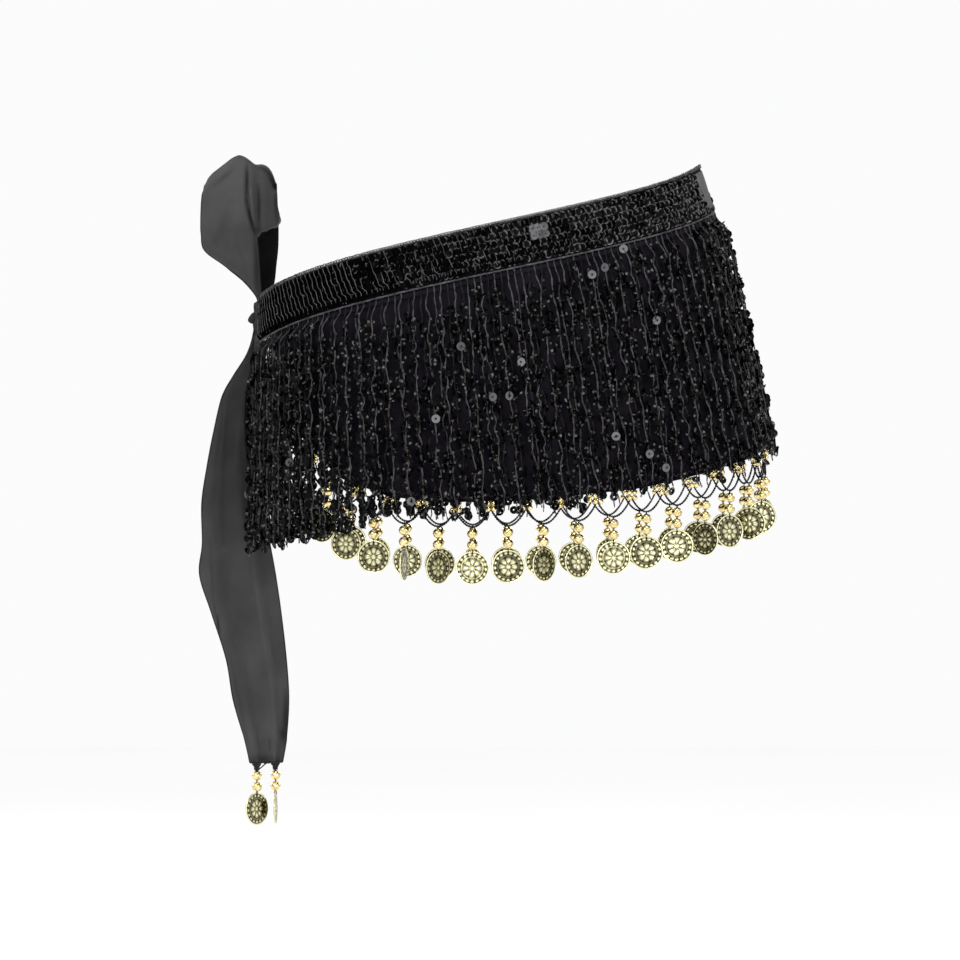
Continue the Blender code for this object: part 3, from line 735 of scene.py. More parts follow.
REFLECTING_CUP_SIDES = 14
REFLECTING_OUT = 0.0016
REFLECTING_TIP = 14
FRINGE_ROWS = table("turn length inner outer", [
    (0, 0.138, 0.0034, 0.0074),
    (22, 0.141, 0.0034, 0.0074),
    (34, 0.146, 0.0072, 0.0112),
    (60, 0.149, 0.0072, 0.0112),
    (76, 0.158, 0.0034, 0.0074),
    (100, 0.163, 0.0034, 0.0074),
    (180, 0.163, 0.0034, 0.0074),
])
# Pixels of the photograph where a sequin faces the camera and looks pale from its reflection
REFLECTING_SEQUIN_PIXELS = [
    (589, 277), (601, 273), (619, 257), (461, 348), (656, 325), (494, 398), (516, 397), (514, 363),
    (441, 420), (618, 437), (641, 456), (660, 467), (246, 494), (295, 461), (412, 503),
]
draw = random.Random(FRINGE_SEED)
loose = random.Random(THREAD_SEED)


def strand_end(turn, length):
    """Depth of a strand's end. In front of free coins it stays above the thread they hang on."""
    end = STRIP_BOTTOM + length
    if from_knot(turn) >= LONG_STRANDS_BELOW_TURN:
        end = min(end, hem_depth(turn) + APEX_BELOW_HEM + SCALLOP_SAG - END_ABOVE_DROPS)
    return end


def strand_path(turn, layer, draw):
    """The middle of a doubled thread: over the header's edge, then down with slow bends."""
    near = from_knot(turn)
    length = between(FRINGE_ROWS, "length", near) + draw.uniform(-LENGTH_SPREAD, LENGTH_SPREAD)
    sways = [draw.uniform(-STRAND_SWAY, STRAND_SWAY) for _ in range(2)]
    top = STRIP_BOTTOM - STRAND_RISE
    end = strand_end(turn, length)
    hang = between(FRINGE_ROWS, layer, near)
    root = GAP + 0.4 * STRIP_THICKNESS
    lean = loose.gauss(0.0, STRAND_LEAN)
    bends = [(loose.uniform(*BEND_LENGTHS), loose.uniform(*ANY_PHASE), loose.uniform(*BEND_SIZES))
             for _ in range(STRAND_BENDS)]
    steps = round((end - top) / STRAND_STEP)
    least = GAP + STRIP_THICKNESS + THREAD_RADIUS
    path = [ring_point(turn, STRIP_TOP - STRAND_SEWN, least)]
    for step in range(steps + 1):
        depth = top + (end - top) * step / steps
        fallen = depth - top
        free = min(1.0, fallen / STRAND_SHOULDER)
        share = step / steps
        sway = sways[0] * (1 - abs(2 * share - 1)) + sways[1] * max(0.0, 2 * share - 1) + lean * share
        for wavelength, phase, size in bends:
            sway += size * free * math.sin(2 * math.pi * fallen / wavelength + phase)
        sway += free * loose.uniform(-STRAND_TREMBLE, STRAND_TREMBLE)
        out = root + (hang - root) * math.sin(free * math.pi / 2)
        out += STRAND_RIPPLE * free * math.sin(fallen * 260 + lean)
        path.append(ring_point(turn, depth, max(out, least)) + sway * ring_tangent(turn, depth))
    return path


def twisted_pair(path, twist, length, phase):
    """Two threads that turn about each other along a path."""
    pair = ([], [])
    gone = 0.0
    for i, point in enumerate(path):
        if i:
            gone += (point - path[i - 1]).length
        ahead = (path[min(i + 1, len(path) - 1)] - path[max(i - 1, 0)]).normalized()
        side = ahead.cross(Vector((0.3, 1.0, 0.2))).normalized()
        angle = 2 * math.pi * gone / length + phase
        aside = twist * (math.cos(angle) * side + math.sin(angle) * ahead.cross(side))
        pair[0].append(point + aside)
        pair[1].append(point - aside)
    return pair


def tipped(normal, axes, spreads):
    """A direction tipped at random, first about one axis and then about another."""
    for axis, spread in zip(axes, spreads):
        normal = tilted(normal, axis, loose.gauss(0, spread))
    return normal


def strung_places(path, turn, covering):
    """Sequins in clumps on a thread. Most face outwards behind it, and ones over a coin lie flat in front."""
    places = []
    outward = ring_normal(turn, 0.1)
    aside = ring_tangent(turn, 0.1)
    clump = loose.uniform(*CLUMP_LENGTHS)
    phase = loose.uniform(*ANY_PHASE)
    gone = loose.uniform(*(BARE_TOP if from_knot(turn) < SIDE_TURN else SIDE_BARE_TOP))
    total = sum((two - one).length for one, two in zip(path, path[1:]))
    end = total - (loose.uniform(*BARE_END) if from_knot(turn) > LONG_STRANDS_BELOW_TURN else 0.0)
    while gone < end:
        at = gone / total * (len(path) - 1)
        index = min(int(at), len(path) - 2)
        point = path[index].lerp(path[index + 1], at - index)
        kind = loose.random()
        if covering or kind < FACING_SHARE:
            normal = tipped(outward, (aside, UP), COVERING_TIPS if covering else FACING_TIPS)
            point = point + (COVERING_OUT if covering else -FACING_IN) * outward
            point = point + loose.uniform(-SLIP_ASIDE, SLIP_ASIDE) * aside
        elif kind < 1 - TIPPED_SHARE:
            normal = tilted(outward, UP, loose.uniform(0, 360))
            normal = tilted(normal, aside, loose.gauss(0, EDGE_TIP))
        else:
            normal = tipped(UP, (aside, outward), TIPPED_TIPS)
        places.append(facing_place(point, normal))
        crowded = math.sin(2 * math.pi * gone / clump + phase) > 0.0
        gone += loose.uniform(*(CROWDED_STEPS if crowded else SPARSE_STEPS))
    return places


def from_pixel(pixel):
    """A pixel of the photograph as a place in metres, across and up."""
    right = pixel[0] - ORIGIN_PIXEL[0]
    up = ORIGIN_PIXEL[1] - pixel[1]
    return Vector((right * METRES_PER_PIXEL, up * METRES_PER_PIXEL))


strip_place = ring_strip(STRIP_TURNS, (STRIP_TOP, STRIP_BOTTOM), GAP)
strip = add_piece("fringe_header", cloth_mesh(*STRIP_GRID, strip_place, (0.80, 0.003)), black_chiffon,
                  stands_for=("sequin_fringe",))
thicken(strip, STRIP_THICKNESS, 1)

root_turns = even_turns(*STRIP_TURNS, 4 * FRINGE_ROOTS, lambda turn: STRIP_BOTTOM)
layers = {"inner": [], "outer": []}
for root in range(FRINGE_ROOTS):
    for layer, step in (("inner", 1), ("outer", 3)):
        turn = root_turns[4 * root + step]
        layers[layer].append((turn, strand_path(turn, layer, draw)))
extra_turns = [("inner", root_turns[4 * root + 2]) for root in range(FRINGE_ROOTS)]
extra_turns += [("outer", root_turns[4 * root + 1]) for root in range(FRINGE_ROOTS)]
extra_turns = [(layer, turn) for layer, turn in extra_turns if from_knot(turn) < DENSE_BELOW_TURN]
extra_turns += [(layer, turn) for layer in ("inner", "outer") for turn in END_STRAND_TURNS]
for layer, turn in extra_turns:
    layers[layer].append((turn, strand_path(turn, layer, loose)))
fringe_thread = thread_material("fringe thread", (0.022, 0.022, 0.024), (0.066, 0.065, 0.069))
fringe_cup = cup_sequin(CUP_SIDES, (0.2, 1.0))
for layer, strands in layers.items():
    threads = {"light": [], "dim": []}
    strung = []
    for count, (turn, path) in enumerate(strands):
        # Outer strands and every third inner one take the lighter thread; the rest take the copy in painted
        # shade.
        is_light = count < FRINGE_ROOTS and (layer == "outer" or count % LIGHT_INNER_EVERY == 0)
        pair = twisted_pair(path, THREAD_TWIST, THREAD_TWIST_LENGTH, loose.uniform(*ANY_PHASE))
        threads["light" if is_light else "dim"].extend(pair)
        covering = layer == "inner" and from_knot(turn) < LONG_STRANDS_BELOW_TURN
        strung.extend(strung_places(path, turn, covering))
    for (shade, paths), material in zip(threads.items(), (fringe_thread, painted_shade_thread)):
        add_piece(f"{layer}_{shade}_threads", tube_mesh(paths, THREAD_RADIUS, 3), material)
    # Painted glints on the fringe sequins' rims
    cups = paint_glints(scatter(fringe_cup, strung), len(strung), CUP_SIDES, LIT_FACETS, loose)
    add_piece(f"{layer}_fringe_sequins", cups, black_sequins)

# A few fringe sequins face the front; their grey is a painted reflection.
reflecting_places = []
front_points = [point for _, path in layers["outer"] for point in path if point.y < 0]
for pixel in REFLECTING_SEQUIN_PIXELS:
    wanted = from_pixel(pixel)
    nearest = min(front_points, key=lambda point: (point.xz - wanted).length)
    normal = tilted(Vector((0.0, -1.0, 0.0)), UP, loose.gauss(0, REFLECTING_TIP))
    reflecting_places.append(facing_place(nearest + Vector((0.0, -REFLECTING_OUT, 0.0)), normal))
reflecting_cup = cup_sequin(REFLECTING_CUP_SIDES, (0.28, 0.6, 1.0))
add_piece("reflecting_fringe_sequins", scatter(reflecting_cup, reflecting_places), painted_reflection_sequins)


# Garland
# A crocheted black thread in scallops along the hem. Between two scallops hangs a square of four small gold
# beads, sewn close under the hem.
GARLAND_TURNS = (38, 322)
SCALLOP_COUNT = 33
CLUSTER_SIZE = 0.0076
CLUSTER_BEAD_RADIUS = 0.00195
CLUSTER_THICKNESS_SHARE = 0.86
CLUSTER_SETBACK = 0.0005
CLUSTER_BEAD_SIDES = (12, 8)
STEEPEST_LOW = 0.25
SCALLOP_STEPS = 44
CROCHET_RADIUS = 0.00042
CROCHET_TWIST = 0.00046
CROCHET_LENGTH = 0.0034


def hem_height(turn):
    return band_height(turn) - hem_depth(turn)


def scallops():
    """Each scallop's end turns, the share at which it is lowest, and its shape by the share along it."""
    turns = even_turns(*GARLAND_TURNS, SCALLOP_COUNT, hem_depth)
    result = []
    for start, end in zip(turns, turns[1:]):
        heights = [hem_height(turn) - APEX_BELOW_HEM for turn in (start, end)]
        fall = heights[1] - heights[0]
        lowest = min(max(0.5 - fall / (8 * SCALLOP_SAG), STEEPEST_LOW), 1 - STEEPEST_LOW)

        def shape(share, start=start, end=end, heights=heights, fall=fall):
            turn = within((start, end), share)
            point = ring_point(turn, hem_depth(turn), -CLUSTER_SETBACK)
            point.z = heights[0] + fall * share - 4 * SCALLOP_SAG * share * (1 - share)
            return point
        result.append({"start": start, "end": end, "lowest": lowest, "shape": shape})
    return result


def gold_material(name, dark, light, roughness, grain):
    """Plated metal, a little uneven, with fine dents."""
    material, shader, where = mottled(name, dark, light, roughness, 420.0, 3.0, 1.0)
    add_dents(material, shader, where, 1600.0, grain, 0.4)
    return material


def ball(radius, height_share, segments, rings):
    """A round bead, turned about its own Z axis, still in its builder."""
    builder = bmesh.new()
    size = Matrix.Diagonal((1.0, 1.0, height_share, 1.0))
    bmesh.ops.create_uvsphere(builder, u_segments=segments, v_segments=rings, radius=radius, matrix=size)
    return builder


def cluster_place(turn):
    """Middle of a cluster, low enough that its upper corner stays under a climbing hem."""
    width = (ring_point(turn + 1, 0.1) - ring_point(turn, 0.1)).xy.length
    rise = abs(hem_height(turn + 1) - hem_height(turn - 1)) / 2
    depth = hem_depth(turn) + GAP + CLUSTER_SIZE / 2 + 0.5 * CLUSTER_SIZE * rise / width
    return ring_point(turn, depth, -CLUSTER_SETBACK)


gold_beads = gold_material("gold beads", (0.46, 0.36, 0.14), (0.78, 0.66, 0.36), 0.20, 0.0001)
crochet_thread = thread_material("crocheted thread", (0.004, 0.004, 0.005), (0.018, 0.017, 0.018))
hung = scallops()
crochet_path = []
for scallop in hung:
    crochet_path += [scallop["shape"](step / SCALLOP_STEPS) for step in range(SCALLOP_STEPS)]
crochet_path.append(hung[-1]["shape"](1.0))
crochet = twisted_pair(crochet_path, CROCHET_TWIST, CROCHET_LENGTH, 0.0)
add_piece("garland_thread", tube_mesh(crochet, CROCHET_RADIUS, 4), crochet_thread,
          stands_for=("bead_garland",))
small_bead = built(ball(CLUSTER_BEAD_RADIUS, CLUSTER_THICKNESS_SHARE, *CLUSTER_BEAD_SIDES), "bead")
cluster_beads = []
for turn in [scallop["start"] for scallop in hung] + [GARLAND_TURNS[1]]:
    depth = hem_depth(turn)
    half = CLUSTER_SIZE / 4
    for sideways in (-half, half):
        for up in (-half, half):
            point = cluster_place(turn) + sideways * ring_tangent(turn, depth) + up * UP
            cluster_beads.append(facing_place(point, ring_normal(turn, depth)))
add_piece("garland_beads", scatter(small_bead, cluster_beads), gold_beads)


# Coin drops
# Two round gold beads over a thin stamped coin, on one doubled thread that loops over the garland. The coin
# has a raised rim, a ring of dots and a plain rosette on both faces, and the thread ends near its top edge.
BEAD_RADIUS = 0.0036
BEAD_HEIGHT_SHARE = 0.96
BEAD_SIDES = (20, 14)
BEAD_CENTRES = (0.0049, 0.0126)
COIN_RADIUS = 0.0114
COIN_CENTRE = 0.0280
COIN_EDGE = 0.00075
COIN_RELIEF = 0.00036
COIN_DOTS = 17
COIN_RINGS = 20
COIN_TIED_UP = 0.0096
COIN_PETALS = 8
DROP_THREAD_RADIUS = 0.0003
TIE_DROP_EXTRA = 0.0050
FRONT_COIN_FACINGS = [-36, -26, -14, 76, 46, 6, -8, 48, 34, 0, -6, 8, -42, 34, -12, 26, 60]
BACK_COIN_TWISTS = (18, -14, 42, -30, 8)


def bell(value, middle, width):
    return math.exp(-((value - middle) / width) ** 2)


def coin_height(share, angle):
    """Relief of the coin's face at a share of its radius: rim, dots, inner line, rosette and boss."""
    rim = 1.0 if share > 0.945 else bell(share, 0.95, 0.025)
    dot_turn = (angle / (2 * math.pi) * COIN_DOTS) % 1.0 - 0.5
    dot = bell(share, 0.81, 0.070) * bell(dot_turn, 0.0, 0.27)
    line = 0.7 * bell(share, 0.655, 0.022)
    petal = abs(math.cos(COIN_PETALS / 2 * angle)) ** 0.8 * bell(share, 0.36, 0.17)
    boss = bell(share, 0.0, 0.12)
    return min(1.0, max(rim, dot, line, 0.85 * petal, boss))


def coin_mesh(centre):
    """A coin that faces -Y, with its middle below the hinge at the origin."""
    builder = bmesh.new()
    relief = builder.loops.layers.float_color.new("relief")
    columns = 4 * COIN_DOTS
    shares = [0.0] + [((ring + 1) / COIN_RINGS) ** 0.9 for ring in range(COIN_RINGS)]
    height_of = {}
    edges = []
    for side in (-1, 1):
        circles = []
        for share in shares:
            circles.append([])
            radius = share * COIN_RADIUS
            for column in range(columns if share else 1):
                angle = 2 * math.pi * (column + 0.5) / columns
                height = coin_height(share, angle)
                out = side * (COIN_EDGE / 2 - COIN_RELIEF * (1 - height))
                vert = builder.verts.new((radius * math.sin(angle), out, radius * math.cos(angle) - centre))
                height_of[vert] = height
                circles[-1].append(vert)
        join_circles(builder, circles)
        edges.append(circles[-1])
    join_circles(builder, edges)
    bmesh.ops.recalc_face_normals(builder, faces=builder.faces)
    for face in builder.faces:
        for corner in face.loops:
            height = height_of[corner.vert]
            corner[relief] = (height, height, height, 1.0)
    return built(builder, "coin")


def coin_material():
    """Pale gold plate whose colour follows its relief: dark brown in the stamped hollows, bright where
    raised.
    """
    material, shader = start_material("pale gold coin", (0.52, 0.49, 0.27), 0.24, 1.0)
    raised = add_node(material, "ShaderNodeVertexColor", layer_name="relief")
    where = add_node(material, "ShaderNodeTexCoord")
    stains = add_noise(material, where, 300.0, 4.0)
    # Tone from the relief's height, with a little of the stains mixed in
    worn = add_node(material, "ShaderNodeMath", {1: 0.35}, operation="MULTIPLY_ADD")
    join(material, stains.outputs["Fac"], worn.inputs[0])
    join(material, raised.outputs["Color"], worn.inputs[2])
    hollow, bright = (0.022, 0.019, 0.007), (0.66, 0.63, 0.38)
    colour_between(material, shader, worn.outputs["Value"], hollow, bright, 0.26, 0.86)
    add_dents(material, shader, where, 1500.0, 0.00008, 0.5)
    return material


def merged(parts):
    """One mesh from several, each with its own material."""
    builder = bmesh.new()
    mesh = bpy.data.meshes.new("merged")
    for index, (part, material) in enumerate(parts):
        before = len(builder.faces)
        builder.from_mesh(part)
        builder.faces.ensure_lookup_table()
        for face in builder.faces[before:]:
            face.material_index = index
            face.smooth = True
        mesh.materials.append(material)
    builder.to_mesh(mesh)
    builder.free()
    return mesh


def drop_shape(extra):
    """A whole drop, hanging from its hinge at the origin."""
    bead = built(ball(BEAD_RADIUS, BEAD_HEIGHT_SHARE, *BEAD_SIDES), "bead")
    strung = scatter(bead, [Matrix.Translation((0.0, 0.0, -centre - extra)) for centre in BEAD_CENTRES])
    tied = COIN_CENTRE + extra - COIN_TIED_UP
    legs = []
    for side in (-1, 1):
        leg = (
            (side * 0.00025, 0.0, -0.0004),
            (side * 0.0004, 0.0, -0.0030 - extra),
            (side * 0.0003, side * 0.0004, -0.0160 - extra),
            (0.0, side * 0.0009, -tied + 0.0008),
            (0.0, side * 0.0005, -tied - 0.0002),
            (0.0, 0.0, -tied - 0.0005),
        )
        legs.append([Vector(place) for place in leg])
    return merged([(strung, gold_beads), (coin_mesh(COIN_CENTRE + extra), coin_metal),
                   (tube_mesh(legs, DROP_THREAD_RADIUS, 5), crochet_thread)])


def place_drop(name, shape, hinge, facing):
    drop = add_piece(name + "_beads_and_coin", shape.copy(), None, body=name + "_body",
                     stands_for=(name,), smooth=False)
    drop.location = hinge
    drop.rotation_euler = (0.0, 0.0, math.radians(facing))


coin_metal = coin_material()
garland_drop = drop_shape(0.0)
for index, scallop in enumerate(hung):
    turn = within((scallop["start"], scallop["end"]), scallop["lowest"])
    normal = ring_normal(turn, hem_depth(turn))
    outward = math.degrees(math.atan2(normal.x, -normal.y))
    if index < len(FRONT_COIN_FACINGS):
        facing = FRONT_COIN_FACINGS[index]
    else:
        facing = outward + BACK_COIN_TWISTS[index % len(BACK_COIN_TWISTS)]
    place_drop(f"coin_drop_{index + 1:02d}", garland_drop, scallop["shape"](scallop["lowest"]), facing)


# Knot
# The two tie ends cross once and are pulled tight against the band's ends. Folds of the cloth run slanting
# round the knot, and the corner of one hem sticks out.
KNOT_FOLD = 0.07
KNOT_SEEN_CENTRE = (-0.1535, 0.0000, -0.0580)
KNOT_SEEN_HALF_SIZES = (0.0045, 0.0090, 0.0125)
KNOT_CORNER_WAY = (-0.96, -0.22, -0.15)
KNOT_CORNER = 1.25
KNOT_CORNER_ANGLE = 0.36
KNOT_SIDES = (110, 70)
KNOT_TURNS = 5
KNOT_SLANT = 3.2
KNOT_WRAP = 0.10
KNOT_WRAP_SLANT = 0.35
KNOT_WRAP_WIDTH = 0.42


def knot_mesh():
    """A ball of cloth with slanting folds, one wrap round it, and a corner that sticks out."""
    builder = ball(1.0, 1.0, *KNOT_SIDES)
    corner_way = Vector(KNOT_CORNER_WAY).normalized()
    for vert in builder.verts:
        angle = math.atan2(vert.co.y, vert.co.x)
        folds = KNOT_FOLD * math.sin(KNOT_TURNS * angle + KNOT_SLANT * vert.co.z) * (1 - vert.co.z ** 2)
        wrap = bell(vert.co.z, KNOT_WRAP_SLANT * math.sin(angle), KNOT_WRAP_WIDTH)
        near = max(0.0, 1 - vert.co.angle(corner_way) / KNOT_CORNER_ANGLE)
        size = 0.84 + folds + KNOT_WRAP * wrap + KNOT_CORNER * near
        parts = [size * part * half for part, half in zip(vert.co, KNOT_SEEN_HALF_SIZES)]
        vert.co = Vector(KNOT_SEEN_CENTRE) + Vector(parts)
    return built(builder, "knot")


tie_chiffon = chiffon_material("grey black chiffon", (0.033, 0.033, 0.0335), (0.045, 0.045, 0.046), 0.985,
                               shine=0.04)
hem_chiffon = chiffon_material("rolled hem", (0.030, 0.030, 0.031), (0.085, 0.085, 0.087), 1.0)
shaded_chiffon = chiffon_material("chiffon in shade", (0.003, 0.003, 0.003), (0.008, 0.008, 0.0085), 0.985)
knot_cloth = chiffon_material("knotted chiffon", (0.010, 0.010, 0.010), (0.026, 0.026, 0.0265), 1.0,
                              shine=0.01)
knot = add_piece("knot_cloth", knot_mesh(), knot_cloth, stands_for=("tie_knot",))

# Where each tie end is sewn to the band's end and gathered into the knot
NECK_TURNS = (5.6, 354.4)
NECK_DEPTHS = (0.0010, 0.0400)
NECK_END_X = -0.1580
NECK_END_Y = 0.0022
NECK_END_HEIGHTS = (-0.0500, -0.0840)
NECK_PLEATS = 6
NECK_PLEAT_HEIGHT = 0.0006
NECK_THREADS = 6
NECK_GRID = (12, 60)
NECK_OUT = 0.0006
NECK_THREAD_OUT = 0.0007
NECK_THREAD_LEAN = 0.35
for name, turn in zip(("front_tie", "rear_tie"), NECK_TURNS):
    side = -1 if turn < 180 else 1

    def neck_place(across, down, turn=turn, side=side):
        start = ring_point(turn, within(NECK_DEPTHS, down), NECK_OUT)
        end = Vector((NECK_END_X, side * NECK_END_Y, within(NECK_END_HEIGHTS, down)))
        point = start.lerp(end, across)
        pleat = side * NECK_PLEAT_HEIGHT * math.sin(2 * math.pi * NECK_PLEATS * down)
        point.y += pleat * min(1.0, 3 * across)
        return point

    neck_cloth = cloth_mesh(*NECK_GRID, neck_place, (0.012, 0.039))
    # The necks take the darker knotted chiffon: gathered cloth, in painted shade under the band's ends.
    neck = add_piece(name + "_neck", neck_cloth, knot_cloth)
    thicken(neck, 0.0005, 0)
    gathers = []
    for count in range(NECK_THREADS):
        start = (count + 0.3) / NECK_THREADS
        gathers.append([])
        for down in numpy.linspace(0.02, 0.9, 14):
            across = start - NECK_THREAD_LEAN * (down - 0.5) + loose.uniform(-0.03, 0.03)
            gathers[-1].append(neck_place(across, down) + Vector((0.0, side * NECK_THREAD_OUT, 0.0)))
    add_piece(name + "_neck_threads", tube_mesh(gathers, RIB_RADIUS, 4), grey_thread)


# Bow loop
# A length of the same tie, drawn back through the knot. It stands up softly, with folds down its middle. Its
# open side is dark inside, under a short lip whose rolled hem is crumpled.
LOOP_ROWS = table("z y left right full curve", [
    (-0.0520, -0.0015, -0.1570, -0.1535, -0.1530, 0.0),
    (-0.0455, -0.0035, -0.1560, -0.1525, -0.1490, 0.0),
    (-0.0330, -0.0080, -0.1660, -0.1535, -0.1450, 0.0),
    (-0.0230, -0.0120, -0.1795, -0.1540, -0.1425, 0.0),
    (-0.0130, -0.0150, -0.1925, -0.1545, -0.1418, 0.0),
    (-0.0020, -0.0165, -0.1946, -0.1540, -0.1412, 0.0),
    (0.0055, -0.0170, -0.1949, -0.1408, -0.1408, 0.0),
    (0.0180, -0.0165, -0.1946, -0.1418, -0.1418, 0.0),
    (0.0340, -0.0135, -0.1940, -0.1422, -0.1422, 0.40),
    (0.0460, -0.0080, -0.1932, -0.1425, -0.1425, 0.82),
    (0.0539, 0.0000, -0.1925, -0.1425, -0.1425, 1.0),
    (0.0470, 0.0080, -0.1920, -0.1430, -0.1430, 0.85),
    (0.0350, 0.0125, -0.1915, -0.1435, -0.1435, 0.45),
    (0.0220, 0.0160, -0.1915, -0.1425, -0.1425, 0.0),
    (0.0060, 0.0170, -0.1915, -0.1416, -0.1416, 0.0),
    (-0.0100, 0.0150, -0.1890, -0.1417, -0.1417, 0.0),
    (-0.0230, 0.0115, -0.1790, -0.1430, -0.1430, 0.0),
    (-0.0345, 0.0075, -0.1655, -0.1442, -0.1442, 0.0),
    (-0.0455, 0.0035, -0.1565, -0.1470, -0.1470, 0.0),
    (-0.0520, 0.0015, -0.1560, -0.1520, -0.1520, 0.0),
])
# How far the fold at the top of the loop lies below its highest point, by the share across
LOOP_TOP = table("share drop", [
    (0.000, 0.0225), (0.026, 0.0176), (0.100, 0.0131), (0.240, 0.0077), (0.380, 0.0022),
    (0.476, 0.0000), (0.556, 0.0013), (0.634, 0.0042), (0.702, 0.0070), (0.810, 0.0066),
    (0.888, 0.0086), (0.948, 0.0131), (1.000, 0.0215),
])
LOOP_FOLDS = 1.0
LOOP_FOLD_HEIGHT = 0.0012
TIE_THICKNESS = 0.0005
TIE_HEM_RADIUS = 0.0005
# Soft creases from one pixel of the photograph to another, with the height and width of each in metres
LOOP_CREASES = table("start end height width", [
    ((247, 164), (247, 202), -0.0040, 0.0013),
    ((247, 202), (256, 238), -0.0040, 0.0013),
    ((251, 190), (254, 222), 0.0024, 0.0009),
    ((259, 186), (260, 234), -0.0030, 0.0012),
    ((256, 236), (257, 292), -0.0020, 0.0014),
    ((267, 178), (269, 224), 0.0016, 0.0040),
    ((214, 189), (236, 172), -0.0012, 0.0018),
    ((213, 182), (234, 165), 0.0014, 0.0018),
    ((243, 178), (244, 216), 0.0014, 0.0020),
    ((231, 208), (217, 246), -0.0014, 0.0032),
    ((222, 262), (250, 288), 0.0010, 0.0020),
    ((238, 240), (253, 290), -0.0016, 0.0018),
])
# Where those folds are in shade: how dark, and over what width
LOOP_SHADES = table("start end height width", [
    ((247, 166), (247, 203), 0.62, 0.0011),
    ((247, 203), (255, 234), 0.62, 0.0011),
    ((254, 160), (256, 232), 0.40, 0.0030),
    ((259, 190), (259, 234), 0.45, 0.0008),
    ((251, 190), (254, 221), -0.55, 0.0007),
    ((245, 157), (252, 163), 0.70, 0.0012),
    ((266, 168), (270, 226), 0.40, 0.0075),
    ((274, 180), (277, 224), 0.60, 0.0014),
    ((257, 236), (258, 294), 0.70, 0.0026),
    ((215, 187), (232, 171), 0.30, 0.0012),
    ((237, 158), (243, 158), 0.30, 0.0010),
    ((215, 240), (219, 246), 0.18, 0.0024),
    ((231, 210), (222, 238), 0.14, 0.0040),
    ((208, 250), (250, 282), 0.12, 0.0030),
])
LIP_SHARES = (0.255, 0.335)
LOOP_ROUNDING = 0.30
LOOP_LOBE_X = -0.1575
LOOP_LOBE_SLANT = 0.55
LIP_CRINKLE = 0.00055
LIP_HEM_SHARE = 1.4
LOOP_TOP_BLUR = 0.012
LOOP_GRID = (100, 160)
LOOP_HEM_STEPS = 140
OPEN_HEM_POINTS = 60
LIP_HEM_POINTS = 36


def smooth_row(rows, down):
    """A row of the cloth at a share of its length, on a smooth curve through the given rows."""
    place = down * (len(rows) - 1)
    index = min(int(place), len(rows) - 2)
    share = place - index
    four = [rows[min(max(index + step, 0), len(rows) - 1)] for step in (-1, 0, 1, 2)]
    weights = (
        -0.5 * share + share ** 2 - 0.5 * share ** 3,
        1 - 2.5 * share ** 2 + 1.5 * share ** 3,
        0.5 * share + 2 * share ** 2 - 1.5 * share ** 3,
        -0.5 * share ** 2 + 0.5 * share ** 3,
    )
    return {key: sum(weight * row[key] for weight, row in zip(weights, four)) for key in rows[0]}


def creased(creases, point):
    """Height of the soft creases at a place seen from the front."""
    height = 0.0
    here = Vector((point.x, point.z))
    for crease in creases:
        start = from_pixel(crease["start"])
        way = from_pixel(crease["end"]) - start
        share = min(max((here - start).dot(way) / way.length_squared, 0.0), 1.0)
        fading = 0.45 + 0.55 * math.sin(math.pi * share)
        height += crease["height"] * fading * bell((here - start - share * way).length, 0.0, crease["width"])
    return height


def paint_fold_shade(mesh, shades):
    """Writes on each corner of a cloth how dark its painted fold shade is."""
    depths = [min(max(creased(shades, vert.co), 0.0), 1.0) for vert in mesh.vertices]
    layer = mesh.color_attributes.new("fold_shade", "FLOAT_COLOR", "POINT")
    layer.data.foreach_set("color", [value for depth in depths for value in (depth, depth, depth, 1.0)])


def crinkled(path, size, seed):
    """A path with small irregular kinks."""
    kinks = random.Random(seed)
    return [point + Vector([kinks.uniform(-size, size) for _ in range(3)]) for point in path]


def loop_place(across, along):
    row = smooth_row(LOOP_ROWS, along)
    side = 1.0 if along > 0.5 else -1.0
    drops = [between(LOOP_TOP, "drop", across + step * LOOP_TOP_BLUR, "share") for step in range(-2, 3)]
    height = row["z"] - row["curve"] * sum(drops) / len(drops)
    point = Vector((within((row["left"], row["right"]), across), row["y"], height))
    share = (point.x - row["left"]) / (row["full"] - row["left"])
    point.y *= 1 - LOOP_ROUNDING * (2 * share - 1) ** 4
    free = math.sin(math.pi * along) * min(1.0, abs(row["y"]) / 0.01)
    fold = LOOP_FOLD_HEIGHT * math.sin(2 * math.pi * LOOP_FOLDS * share) + creased(LOOP_CREASES, point)
    fold -= LOOP_LOBE_SLANT * max(0.0, point.x - LOOP_LOBE_X)
    point.y += fold * side * free
    return point


# The loop's inner face and its open hem take the chiffon in shade: painted shade inside the loop.
loop = add_piece("loop_cloth", cloth_mesh(*LOOP_GRID, loop_place, (0.046, 0.215)), shaded_chiffon,
                 stands_for=("bow_loop",))
paint_fold_shade(loop.data, LOOP_SHADES)
loop.data.materials.append(tie_chiffon)
thicken(loop, TIE_THICKNESS, 0)
loop.modifiers["thickness"].material_offset = 1
closed_edge = [loop_place(0.0, step / LOOP_HEM_STEPS) for step in range(LOOP_HEM_STEPS + 1)]
open_edges = [[loop_place(1.0, along) for along in numpy.linspace(start, end, OPEN_HEM_POINTS)]
              for start, end in ((0.0, LIP_SHARES[0]), (LIP_SHARES[1], 1.0))]
lip_edge = [loop_place(1.0, along) for along in numpy.linspace(*LIP_SHARES, LIP_HEM_POINTS)]
lip_path = crinkled(lip_edge, LIP_CRINKLE, 3)
loop_hem = add_piece("loop_hem", tube_mesh([closed_edge], TIE_HEM_RADIUS), knot_cloth)
open_hem = add_piece("loop_open_hem", tube_mesh(open_edges, TIE_HEM_RADIUS), shaded_chiffon)
